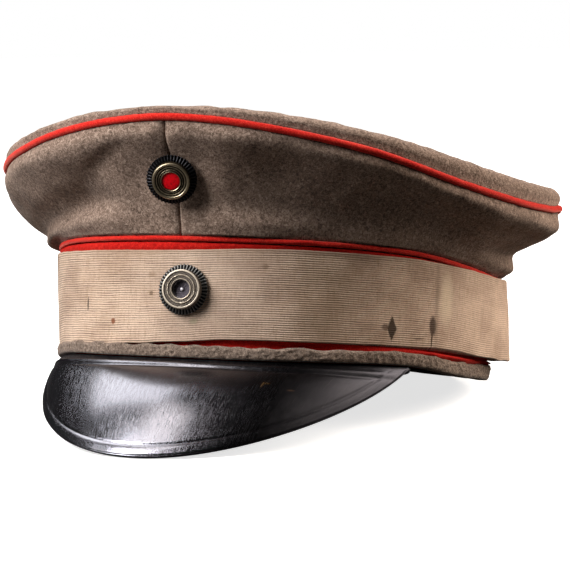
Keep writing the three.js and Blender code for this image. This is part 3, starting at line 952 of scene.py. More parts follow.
@dataclass
class Crown:
    """The soft crown: two side walls that meet in front and behind, and the puffed top."""

    cloth: float = 2.0
    gap: float = 0.3
    cord: float = 1.6
    band_cord: float = 1.2
    foot_out: float = 1.3
    hem_round: float = 1.5
    hem_rise: float = 0.1
    hem_turns: tuple[float, ...] = (98, 115, 130, 145, 160)
    foot_hem: tuple[tuple[float, float], ...] = (
        (-1.1, 0.3), (-0.9, 0.75), (-0.4, 1.05), (0.1, 1.12), (0.25, 1.35))
    puff_share: float = 0.085
    overhang: float = 0.9
    top_centre: tuple[float, float] = (4.0, 80.0)
    seam_gap: float = 0.1
    seam_deep: float = 1.0
    seam_width: float = 0.55
    rows_up: int = 96
    roll_rise: float = 1.1
    roll_drop: float = 3.0
    roll_width: float = 3.2
    folds: tuple[Fold, ...] = (
        Fold("left_crease", -28, 61.5, 24, 20, 3.0, -0.9),
        Fold("left_crease_end", -15, 71.5, 30, 11, 2.6, -1.2),
        Fold("left_pouch", -26, 53.0, 12, 16, 4.0, 0.8),
        Fold("ridge_left_of_seam", -14.5, 60.0, 80, 12, 6.0, 1.3),
        Fold("patch_by_cockade", -8.5, 62.0, 80, 12, 5.0, -0.5),
        Fold("ridge_right_of_seam", 11.0, 66.0, 80, 14, 6.0, 0.8),
        Fold("front_hollow", 22.0, 62.0, 80, 11, 9.0, -1.0),
        Fold("small_ridge", 38.5, 63.0, 60, 5, 3.0, 0.7),
        Fold("right_hollow", 66.0, 51.0, -18, 20, 4.0, -1.0),
    )
    look: WoolCloth = field(default_factory=lambda: WoolCloth(
        "crown_wool", 0x4E4037, 0x887264, 0xBCA595, curl=1.1, depth=0.34, sheen=0.05))

    def line(self, angle: Array, t: Array) -> tuple[Array, Array]:
        """The wall's outer line from the band's cord up to the crown seam.

        Five spans between six named knots, each a cubic whose slopes come from the neighbouring
        knots weighted by the square roots of their distances.

        Args:
            angle: a column of angles, shaped (n, 1).
            t: a row of shares of the line, shaped (m,), 0 below and 1 at the seam.

        Returns:
            Out and up, stacked last, and their slope with t, each shaped (n, m, 2).
        """
        a = np.asarray(angle, float).reshape(-1)
        knots = np.stack([
            np.stack([BAND("cord_out", a) + self.foot_out, BAND("top", a) + 2 * self.band_cord], -1),
            *(np.stack([CROWN(f"{name}_out", a), CROWN(f"{name}_up", a)], -1)
              for name in ("neck", "crease", "flare", "belly")),
            np.stack([CROWN("seam_out", a) - self.gap,
                      CROWN("seam_up", a) - self.cord - self.gap], -1),
        ], 1)
        knots = np.concatenate([2 * knots[:, :1] - knots[:, 1:2], knots,
                                2 * knots[:, -1:] - knots[:, -2:-1]], 1)
        spans = knots.shape[1] - 3
        place = np.asarray(t, float) * spans
        span = np.minimum(place.astype(int), spans - 1)
        share = (place - span)[None, :, None]
        before, start, end, after = (knots[:, span + k] for k in range(4))

        def stride(p: Array, q: Array) -> Array:
            """The square root of the distance between two knots."""
            return np.linalg.norm(q - p, axis=-1, keepdims=True) ** 0.5

        first, middle, last = stride(before, start), stride(start, end), stride(end, after)
        slope_in = ((start - before) / first - (end - before) / (first + middle)
                    + (end - start) / middle) * middle
        slope_out = ((end - start) / middle - (after - start) / (middle + last)
                     + (after - end) / last) * middle
        here = hermite(start, end, slope_in, slope_out, share)
        step = 1e-3
        near = np.where(share > 0.5, share - step, share + step)
        there = hermite(start, end, slope_in, slope_out, near)
        return here, (there - here) / (near - share)

    def side_angles(self) -> Array:
        """Angles of one side's sections, crowded towards its two seams."""
        close = np.array([0, 0.2, 0.4, 0.65, 0.95, 1.3, 1.7, 2.2])
        return np.concatenate([close, np.linspace(2.8, 177.2, 280), 180 - close[::-1]])

    def roll(self, angle: Array, below: Array, from_seam: Array) -> Array:
        """The roll of cloth under the crown seam: a bell at a drop below it.

        It runs round the front, is flatter over the left temple, and stops at the seam.

        Args:
            angle: degrees from the front, shaped (n,).
            below: height under the wall's upper edge.
            from_seam: distance along the cloth to the front or back seam.

        Returns:
            The roll's rise at each point.
        """
        facing = 1 - ease(np.abs(angle - 20), 60, 85)
        temple = 1 - 0.55 * bump_at(angle - 48, 24)
        return self.roll_rise * (facing * temple)[:, None] * bump_at(
            below - self.roll_drop, self.roll_width) * (1 - bump_at(from_seam, 2.0))

    def side(self, name: str, sign: int) -> bpy.types.Object:
        """One side wall: its outer line lifted by folds and wear, its inner line a cloth inside.

        Args:
            name: the piece's name.
            sign: which side, 1 for the wearer's left and -1 for the right.

        Returns:
            The piece.
        """
        angle = np.clip(self.side_angles(), self.seam_gap, 180 - self.seam_gap)
        angle = angle if sign > 0 else -angle[::-1]
        t = np.linspace(0, 1, self.rows_up)
        line, slope = self.line(angle, t)
        slope /= np.linalg.norm(slope, axis=-1, keepdims=True)
        square = np.stack([slope[..., 1], -slope[..., 0]], -1)
        up, highest = line[..., 1], line[:, -1:, 1]
        run = OVAL.run(angle)[:, None]
        from_seam = np.minimum(np.abs(run), np.max(np.abs(OVAL.run(180.0))) - np.abs(run))
        spread = OVAL.beside(angle[:, None], line[..., 0], up)
        rise = self.unevenness(spread, highest - up, from_seam)
        held = ease(t, 0.02, 0.15) * ease(1 - t, 0.0, 0.1)
        for fold in self.folds:
            rise = rise + fold.height(run, up) * held
        rise = rise + self.roll(angle, np.maximum(highest - up, 0), from_seam)
        outer = line + square * rise[..., None]
        inner = line - square * self.cloth
        outer[..., 1] = np.minimum(outer[..., 1], highest)
        inner[..., 1] = np.minimum(inner[..., 1], highest + self.cloth / 2)
        top_hem = self.hem(angle, -np.radians(self.hem_turns))
        foot = np.stack([BAND("cord_out", angle), BAND("top", angle) + BAND_CORD_RISE], -1)
        furrow = np.exp(-from_seam / self.seam_width)[..., None] * [[-0.8, 0.0]]
        outer = np.concatenate([foot[:, None] + self.foot_hem + furrow, outer, top_hem + furrow], 1)
        inner = np.concatenate([inner[:, :1].repeat(len(self.foot_hem), 1), inner,
                                inner[:, -1:].repeat(len(self.hem_turns), 1)], 1)
        both = np.concatenate([outer, inner[:, ::-1]], 1)
        loops = OVAL.beside(angle[:, None], both[..., 0], both[..., 1])
        flat = np.stack([np.broadcast_to(run, both.shape[:2]), both[..., 1]], -1)
        return make_piece(name, closed_wall(loops, flat, ends=True))

    def hem(self, angle: Array, turn: Array) -> Array:
        """Out and up of the cloth's edge where it is drawn in round the crown's cord.

        Args:
            angle: degrees from the front, shaped (n,).
            turn: places on the circle round the cord, shaped (m,), in radians.

        Returns:
            A circle's points, shaped (n, m, 2).
        """
        middle = np.stack([CROWN("seam_out", angle), CROWN("seam_up", angle) + self.hem_rise], -1)
        return middle[:, None] + self.hem_round * np.stack([np.cos(turn), np.sin(turn)], -1)

    def unevenness(self, points: Array, below_seam: Array, from_seam: Array) -> Array:
        """How far the worn cloth stands proud of its even line.

        A slow swell, small puckers that die away under the crown seam, and a furrow where the
        two sides are sewn together.

        Args:
            points: the even wall's points.
            below_seam: height under the crown seam's cloth edge.
            from_seam: distance along the cloth to the front or back seam.

        Returns:
            The rise of each point, square to the wall.
        """
        swell = (0.45 * Wander(seed=3, length=38)(points)
                 + 0.18 * Wander(seed=4, length=14)(points))
        puckers = 0.22 * Wander(seed=5, length=7)(points * [1, 1, 0.25]) * np.exp(-below_seam / 5)
        furrow = (-self.seam_deep * np.exp(-from_seam / self.seam_width)
                  - 0.35 * bump_at(from_seam, 3.0))
        quiet = ease(below_seam, 0, 4)
        return (swell * quiet + puckers) * (1 - bump_at(from_seam, 1.5)) + furrow

    def top_point(self, angle: Array, share: Array, deep: float) -> Array:
        """A point of the crown's top, which rounds up over its edge and sinks to the middle.

        The edge climbs as the cube root of 1 less a cube, and the rest runs to the middle by an
        even blend, 3 squares of the share less 2 cubes.

        Args:
            angle: degrees from the front, shaped (n, 1).
            share: 0 at the edge to 1 in the middle, shaped (m,).
            deep: distance below the surface.

        Returns:
            Points, shaped (n, m, 3).
        """
        over = np.minimum(share / self.puff_share, 1)
        climb = np.cbrt(1 - (1 - over) ** 3)
        swell = self.overhang * 4 * climb * (1 - climb)
        edge = OVAL.beside(angle, CROWN("seam_out", angle) - self.gap - deep + swell, 0)
        low = CROWN("seam_up", angle) + self.cord + self.gap
        high = CROWN("seam_up", angle) + CROWN("puff", angle) - deep
        rounded = low + (high - low) * climb
        inward = share * share * (3 - 2 * share)
        middle_y, middle_z = self.top_centre
        return np.stack([
            edge[..., 0] * (1 - share),
            edge[..., 1] * (1 - share) + middle_y * share,
            rounded * (1 - inward) + (middle_z - deep) * inward,
        ], -1)

    def top(self) -> bpy.types.Object:
        """The top: its inner face from the middle out, then its outer face back to the middle.

        Returns:
            The piece.
        """
        angle = np.linspace(-180, 180, 361)[:, None]
        bend = (1 - np.cos(np.linspace(0, math.pi / 2, 14))) * self.puff_share
        share = np.concatenate([bend, np.linspace(self.puff_share, 1, 44)[1:]])
        inner = self.top_point(angle, share[::-2], self.cloth)
        outer = self.top_point(angle, share, 0.0)
        swell = 0.5 * Wander(seed=8, length=45)(outer) + 0.15 * Wander(seed=9, length=13)(outer)
        outer[..., 2] += swell * ease(share, 0.02, 0.25) * (1 - ease(share, 0.8, 1.0))
        puckers = 0.25 * Wander(seed=10, length=7)(outer * [1, 1, 0.2])
        outer[..., 2] += puckers * bump_at(share - 0.02, 0.03)
        hem = self.hem(angle[:, 0], np.radians(self.hem_turns[::-1]))
        hem = OVAL.beside(angle, hem[..., 0], hem[..., 1])
        points = np.concatenate([inner, hem, outer], 1)
        return make_piece("crown_top_cloth", [Patch(points, points[..., :2].copy())])

    def build(self) -> Iterator[bpy.types.Object]:
        """Makes the two sides and the top, in one cloth.

        Yields:
            Each finished piece.
        """
        LOG.info("folds of the crown: %s", ", ".join(fold.name for fold in self.folds))
        cloth = self.look.look()
        yield fit(self.side("crown_left_cloth", 1), cloth, "crown_cloth", "crown_side_left")
        yield fit(self.side("crown_right_cloth", -1), cloth, "crown_cloth", "crown_side_right")
        yield fit(self.top(), cloth, "crown_cloth", "crown_top")


# ------------------------------------------------------------------ piping
class Seam(Enum):
    """The two seams that a cord is sewn into, by the cord's node."""

    CROWN = "crown_piping"
    BAND = "band_piping"


@dataclass
class Piping:
    """A cloth-covered cord round the head."""

    name: str
    seam: Seam
    radius: float
    sides: int = 20
    stations: int = 900

    def path(self, angle: Array) -> tuple[Array, Array]:
        """Reads the cord's middle from the table of its seam.

        Args:
            angle: degrees from the front.

        Returns:
            Out and up at each angle.
        """
        if self.seam is Seam.CROWN:
            return CROWN("seam_out", angle) - 0.05, CROWN("seam_up", angle) + 0.1
        return BAND("cord_out", angle), BAND("top", angle) + BAND_CORD_RISE

    def piece(self) -> bpy.types.Object:
        """Carries a circle round the path: its radius wanders a little as the cloth creeps.

        Returns:
            The piece.
        """
        angle = np.linspace(-180, 180, self.stations + 1)[:, None]
        turn = np.linspace(0, 2 * math.pi, self.sides + 1)[None, :]
        out, up = self.path(angle)
        line = OVAL.beside(angle, out, up)
        creep = 0.03 * Wander(seed=12, length=6)(line) + 0.02 * Wander(seed=13, length=1.7)(line)
        twist = 0.06 * np.sin(2 * turn) * Wander(seed=14, length=11)(line)
        radius = self.radius * (1 + creep) + twist
        points = OVAL.beside(angle, out + radius * np.cos(turn), up + radius * np.sin(turn))
        run = OVAL.run(angle) + 0 * turn
        flat = np.stack([run, turn * self.radius + 0 * run], -1)
        return make_piece(self.name, [Patch(points, flat)])


@dataclass
class Pipings:
    """The two red cords, in one cloth."""

    cords: tuple[Piping, ...] = (Piping("crown_cord", Seam.CROWN, 1.36),
                                 Piping("band_cord", Seam.BAND, 0.95))
    look: WoolCloth = field(default_factory=lambda: WoolCloth(
        "piping_wool", 0xA80F0C, 0xD21C16, 0xF0503F, curl=0.55, depth=0.08, sheen=0.55,
        sheen_tint=0xFFA090))

    def build(self) -> Iterator[bpy.types.Object]:
        """Makes the cord round the crown and the cord over the band.

        Yields:
            Each finished piece.
        """
        cloth = self.look.look()
        for cord in self.cords:
            yield fit(cord.piece(), cloth, "piping_cloth", cord.seam.value)


# ------------------------------------------------------------------ band, tape and welt
def drawn_in(angle: Array, up: Array) -> Array:
    """How far the band's wall leans in at a height: none at its top, the taper at its rim."""
    rim, top = BAND("rim", angle), BAND("top", angle)
    return BAND("taper", angle) * (top - up) / (top - rim)


@dataclass
class Band:
    """The red band: soft cloth over a stiff core, seen above and below the tape."""

    wall: float = 2.4
    gap: float = 0.3
    fold: float = 1.2
    head_gap: float = 0.6
    swell: float = 0.45
    pushed_out: float = 1.9
    drawn_back: float = 1.5
    edge_round: float = 0.5
    look: WoolCloth = field(default_factory=lambda: WoolCloth(
        "band_wool", 0x9C0D0B, 0xC41813, 0xDE3225, curl=0.7, depth=0.14, sheen=0.35,
        sheen_tint=0xFF7060))

    def build(self) -> Iterator[bpy.types.Object]:
        """Sweeps the band's section: its cloth swells a little where the tape leaves it free.

        Under the tape's lower edge it stands out towards the wearer's left, clear of the welt,
        and lies back on the right.

        Yields:
            The finished piece.
        """
        angle = np.linspace(-180, 180, 721)[:, None]
        low = BAND("rim", angle) + self.fold + self.gap
        high = BAND("top", angle) - self.head_gap
        share = np.concatenate([np.linspace(0, 0.3, 20), np.linspace(0.34, 0.8, 6),
                                np.linspace(0.84, 1, 16)])
        up = low + (high - low) * share
        over_edge = up - TAPE("low_up", angle)
        free = ease(up, 0, 1) * np.maximum(1 - ease(over_edge, -1.5, 0.0),
                                           ease(up - TAPE("high_up", angle), 0.0, 1.2))
        clear = ease(up - BAND("rim", angle) - BAND("welt_up", angle), -0.2, 0.9)
        left = ease(angle, 45, 70) * (1 - ease(angle, 118, 135))
        right = ease(angle, -100, -80) * (1 - ease(angle, 30, 55))
        slack = (1 - ease(over_edge, -1, 1)) * (
            self.pushed_out * clear * left - self.drawn_back * right)
        rough = 0.12 * Wander(seed=21, length=2.2)(OVAL.beside(angle, 0, up))
        out = free * (self.swell + slack + rough) - drawn_in(angle, up)
        out = out - self.edge_round * ease(share, 0.985, 1.0)
        back_up = up[:, ::-5]
        back = -drawn_in(angle, back_up) - self.wall
        both_out, both_up = (np.concatenate(pair, 1) for pair in ((out, back), (up, back_up)))
        loops = OVAL.beside(angle, both_out, both_up)
        flat = np.stack([OVAL.run(angle) + 0 * both_up, both_up], -1)
        piece = make_piece("band_cloth", closed_wall(loops, flat, ends=False))
        yield fit(piece, self.look.look(), "band_cloth", "band")


@dataclass
class CoverTape:
    """The ribbed tape round the band; its cut, its flat height and length in metres, is not used."""

    pitch: ClassVar[float] = 0.825
    ribs: int = 41
    points_to_a_rib: int = 4
    wall: float = 1.0
    relief: float = 0.16
    hang: float = 1.2
    lift: float = 0.9
    edge_thin: float = 0.25
    cut: tuple[float, float] = (0.0335, 0.6)
    look: RibbedTape = field(default_factory=RibbedTape)

    def edge(self, angle: Array, low: Array) -> Array:
        """How far the lower edge wanders: it hangs on the wearer's right and lifts on the left.

        Args:
            angle: degrees from the front.
            low: the even edge's height.

        Returns:
            The rise at each angle.
        """
        hang = (1 - ease(angle, -2, 16)) * ease(angle, -95, -75)
        wander = 0.18 * Wander(seed=31, length=16)(OVAL.beside(angle, 0, low))
        return wander - self.hang * hang + self.lift * bump_at(angle - 68, 16)

    def build(self) -> Iterator[bpy.types.Object]:
        """Sweeps the tape: each rib is the size of a half sine, with a few points to a rib.

        Yields:
            The finished piece.
        """
        angle = np.linspace(-180, 180, 481)[:, None]
        rib = np.linspace(0, self.ribs, self.ribs * self.points_to_a_rib + 1)[None, :]
        share = rib / self.ribs
        low, high = TAPE("low_up", angle), TAPE("high_up", angle)
        low_out, high_out = TAPE("low_out", angle), TAPE("high_out", angle)
        up = low + (high - low) * share
        line = OVAL.beside(angle, 0, up)
        up = up + self.edge(angle, low) * (1 - share) + 0.05 * Wander(seed=33, length=9)(line)
        swell = 0.22 * Wander(seed=32, length=26)(line * [1, 1, 1.6]) * np.sin(math.pi * share)
        out = low_out + (high_out - low_out) * share + swell
        out = out + self.relief * (np.abs(np.sin(math.pi * rib)) - 1)
        out = out - self.edge_thin * bump_at(np.minimum(share, 1 - share) * self.ribs, 0.4)
        back = np.linspace(1, 0, 4)[None, :]
        back_up = low + (high - low) * back
        back_out = low_out + (high_out - low_out) * back - self.wall
        loops = OVAL.beside(angle, np.concatenate([out, back_out], 1),
                            np.concatenate([up, back_up], 1))
        count = np.concatenate([rib, back * self.ribs], 1)
        flat = np.stack([OVAL.run(angle) + 0 * count, count + 0 * angle], -1)
        piece = make_piece("tape_cloth", closed_wall(loops, flat, ends=False))
        yield fit(piece, self.look.look(), "tape_cloth", "cover_tape")


@dataclass
class Welt:
    """The grey strip that is folded under the band's lower edge."""

    face: float = 2.0
    wall: float = 2.4
    fold: float = 1.2
    gap: float = 0.3
    tuck: float = 3.0
    back_points: int = 10
    look: WoolCloth = field(default_factory=lambda: WoolCloth(
        "welt_wool", 0x44372E, 0x7C6B5F, 0xB09C8C, curl=0.9, depth=0.3, sheen=0.1))

    def section(self, height: Array) -> tuple[Array, Array]:
        """The fold's closed section, from where it is tucked behind the band to its upper edge.

        Each row is out, then a share of the height, a share of the wander and a fixed rise.

        Args:
            height: the front's height at each angle, shaped (n, 1).

        Returns:
            Out and up of each point, shaped (n, m); up is from the band's rim.
        """
        wander = 0.3 * Wander(seed=41, length=9)(OVAL.beside(self.angle(), 0, 0)) - 0.1
        upper = [(self.face - 1.2, 1, 1, 0.0), (self.face - 0.55, 1, 1, -0.12),
                 (self.face - 0.15, 1, 1, -0.55)]
        front = [(self.face + 0.12 * math.sin(math.pi * share), share, share, 0.0)
                 for share in np.linspace(0.8, 0.22, 9)]
        corner = [(self.face * out, share, 0, 0.0)
                  for out, share in ((1.0, 0.16), (0.93, 0.09), (0.8, 0.03), (0.6, 0.0))]
        under = [(out, 0, 0, 0.0) for out in np.linspace(1.0, -self.wall + 0.3, 6)]
        tucked = [(-self.wall, 0, 0, 0.3), (-self.wall, 0, 0, self.fold),
                  (self.gap, 0, 0, self.fold), (self.gap, 0, 0, self.tuck)]
        rows = np.array([*upper, *front, *corner, *under, *tucked])[::-1]
        out, of_height, of_wander, fixed = rows.T
        return out + 0 * height, height * of_height + wander * of_wander + fixed

    def angle(self) -> Array:
        """The sections' angles, as a column."""
        return np.linspace(-180, 180, 901)[:, None]

    def build(self) -> Iterator[bpy.types.Object]:
        """Sweeps a rounded fold: felt whose skin is rough, pressed flat where it meets the table.

        Yields:
            The finished piece.
        """
        angle = self.angle()
        out, up = self.section(BAND("welt_up", angle))
        skin = OVAL.beside(angle, out, up)
        rough = 0.16 * Wander(seed=42, length=2.6)(skin) + 0.12 * Wander(seed=43, length=1.3)(skin)
        rough[:, :self.back_points] = 0
        up = up + BAND("rim", angle)
        loops = OVAL.beside(angle, out + rough - drawn_in(angle, up), up)
        loops[..., 2] = np.maximum(loops[..., 2], REST.table_height(loops[..., 1]))
        flat = np.stack([OVAL.run(angle) + 0 * up, up], -1)
        piece = make_piece("welt_cloth", closed_wall(loops, flat, ends=False))
        yield fit(piece, self.look.look(), "crown_cloth", "rim_welt")


# ------------------------------------------------------------------ visor
@dataclass
class Visor:
    """The hard visor: a raised ridge and a groove along the head, and a bead round the rim."""

    half_angle: float = 58.8
    thick: float = 2.2
    anchor: float = 1.1
    tip_y: float = -135.0
    tip_z: float = -36.4
    reach_power: float = 1.27
    drop_power: float = 1.09
    nip_left: float = 0.077
    nip_right: float = 0.01
    bulge: float = 4.5
    gap: float = 0.3
    wall: float = 2.4
    edge_round: float = 0.3
    edge_width: float = 0.8
    edge_push: float = 0.25
    sharp: float = 50.0
    look: BlackFibre = field(default_factory=BlackFibre)

    def rim(self, side: Array) -> Array:
        """The free rim: sines and powers of the share forward, pinned to the band at its ends.

        Args:
            side: -1 at the wearer's right end to 1 at the left.

        Returns:
            The rim's points.
        """
        end = self.half_angle * np.where(side < 0, -1, 1)
        low = BAND("rim", end)
        pin = OVAL.beside(end, self.anchor - drawn_in(end, low), low - self.gap)
        turn = side * math.pi / 2
        forward = np.abs(np.cos(turn))
        nip = np.where(side > 0, self.nip_left, self.nip_right)
        return np.stack([
            np.abs(pin[..., 0]) * np.sin(turn) * (1 - nip * forward),
            pin[..., 1] + (self.tip_y - pin[..., 1]) * forward ** self.reach_power,
            pin[..., 2] + (self.tip_z - pin[..., 2]) * forward ** self.drop_power,
        ], -1)

    def surface(self, side: Array, along: Array) -> Array:
        """The plain upper face: a chord from under the welt to the rim, bulged square to itself.

        Args:
            side: -1 to 1 across.
            along: 0 at the head to 1 at the rim.

        Returns:
            Points, the arguments' shapes broadcast together.
        """
        side, along = np.broadcast_arrays(np.asarray(side, float), np.asarray(along, float))
        angle = side * self.half_angle
        low = BAND("rim", angle)
        base = OVAL.beside(angle, -drawn_in(angle, low), low - self.gap)
        chord = self.rim(side) - base
        flat = np.maximum(np.hypot(chord[..., 0], chord[..., 1]), 1e-6)
        lift = np.stack([-chord[..., 2] * chord[..., 0] / flat,
                         -chord[..., 2] * chord[..., 1] / flat, flat], -1)
        lift /= np.linalg.norm(lift, axis=-1, keepdims=True)
        forward = np.abs(np.cos(side * math.pi / 2))
        bulge = self.bulge * forward * np.sin(math.pi * along ** 0.8)
        return base + chord * along[..., None] + lift * bulge[..., None]

    def normal(self, side: Array, along: Array, step: float = 0.01) -> Array:
        """Unit normals of the upper face, upward: the cross product of short steps over it.

        They turn straight up near the head and the two ends, where the steps shrink to nothing.

        Args:
            side: -1 to 1 across.
            along: 0 at the head to 1 at the rim.
            step: the steps' length, as a share.

        Returns:
            A unit vector at each point.
        """
        across = (self.surface(np.minimum(side + step, 1), along)
                  - self.surface(np.maximum(side - step, -1), along))
        inward = (self.surface(side, np.maximum(along - step, 0))
                  - self.surface(side, np.minimum(along + step, 1)))
        square = np.cross(across, inward)
        square = np.where(square[..., 2:] < 0, -square, square)
        square /= np.maximum(np.linalg.norm(square, axis=-1, keepdims=True), 1e-9)
        share = (np.minimum(along / 0.12, 1) * np.minimum((1 - np.abs(side)) / 0.05, 1))[..., None]
        square = square * share + np.array([0, 0, 1.0]) * (1 - share)
        return square / np.linalg.norm(square, axis=-1, keepdims=True)

    def relief(self, length: Array, inner: Array, outer: Array) -> Array:
        """The pressed lines: a ridge and a groove along the head, a groove and a bead by the rim.

        Each is a bell at its distance from the head or the rim, and all die out at the two ends.

        Args:
            length: the visor's length from head to rim at each section.
            inner: distance from the head.
            outer: distance from the rim.

        Returns:
            The rise at each point.
        """
        by_head = 0.55 * bump_at(inner - 4.6, 1.15) - 0.3 * bump_at(inner - 6.7, 0.7)
        by_rim = 0.12 * bump_at(outer - 2.6, 1.4) - 0.22 * bump_at(outer - 4.4, 0.5)
        return (by_head + by_rim) * ease(length, 4, 16)

    def build(self) -> Iterator[bpy.types.Object]:
        """Sweeps the visor's section from end to end across the head.

        Yields:
            The finished piece.
        """
        side = np.sin(np.linspace(-math.pi / 2, math.pi / 2, 241))[:, None]
        along = np.concatenate([np.linspace(0, 0.24, 40), np.linspace(0.26, 0.84, 30),
                                np.linspace(0.855, 1, 34)])[None, :]
        side_grid, along_grid = np.broadcast_arrays(side, along)
        face, square = self.surface(side, along), self.normal(side_grid, along_grid)
        length = np.linalg.norm(face[:, -1:] - face[:, :1], axis=-1)
        inner, outer = along * length, (1 - along) * length
        rounded = self.edge_round * ease(self.edge_width - outer, 0, self.edge_width)
        face_out = face + square * (self.relief(length, inner, outer) - rounded)[..., None]
        under = face - square * (self.thick - rounded)[..., None]
        push = face[:, -1:] - face[:, -2:-1]
        push /= np.maximum(np.linalg.norm(push, axis=-1, keepdims=True), 1e-9)
        edge = (face_out[:, -1:] + under[:, -1:]) / 2 + push * self.edge_push
        angle = side * self.half_angle
        low = BAND("rim", angle)
        flange = OVAL.beside(angle, -self.wall - drawn_in(angle, low), low - self.gap)
        flange_under = flange - [0, 0, self.thick]
        loops = np.concatenate([flange, face_out, edge, edge, under[:, ::-1], flange_under], 1)
        across = OVAL.run(side_grid * self.half_angle) * (1 + 0.5 * along_grid)
        flat = np.stack([across, inner], -1)
        flat = np.concatenate([flat[:, :1], flat, flat[:, -1:], flat[:, -1:], flat[:, ::-1],
                               flat[:, :1]], 1)
        walls = closed_wall(loops, flat, ends=True)
        piece = make_piece("visor_fibre_shell", walls, sharp=self.sharp)
        yield fit(piece, self.look.look(), "visor_fibre", "visor")


# ------------------------------------------------------------------ cockades
def turn_left(direction: Array, degrees: float) -> Array:
    """Turns a direction about the upright, towards the wearer's left, by a rotation matrix.

    Args:
        direction: the direction.
        degrees: how far.

    Returns:
        The turned direction.
    """
    c, s = math.cos(math.radians(degrees)), math.sin(math.radians(degrees))
    return np.array([[c, -s, 0], [s, c, 0], [0, 0, 1.0]]) @ direction


class CockadeStyle(Enum):
    """The two kinds of cockade on the cap."""

    ENAMELLED = "upper"
    GRANULATED = "lower"


@dataclass(frozen=True)
class Grains:
    """Fine seeded grains on a turned face, between two radii."""

    height: float
    inside: float
    outside: float
    seed: int
    back: float = 0.3

    def heights(self, sides: int, radius: Array, rise: Array) -> Array:
        """Draws a height for each point of the face; the turn's last section repeats its first.

        Args:
            sides: how many sections go round.
            radius: each profile point's radius, shaped (1, m).
            rise: each profile point's rise; the back, below a small rise, stays smooth.

        Returns:
            Heights, shaped (sides + 1, m).
        """
        draw = np.random.default_rng(self.seed).uniform(-1, 1, (sides + 1, radius.shape[1]))
        draw[-1] = draw[0]
        return self.height * draw * (
            (radius > self.inside) & (radius < self.outside) & (rise > self.back))


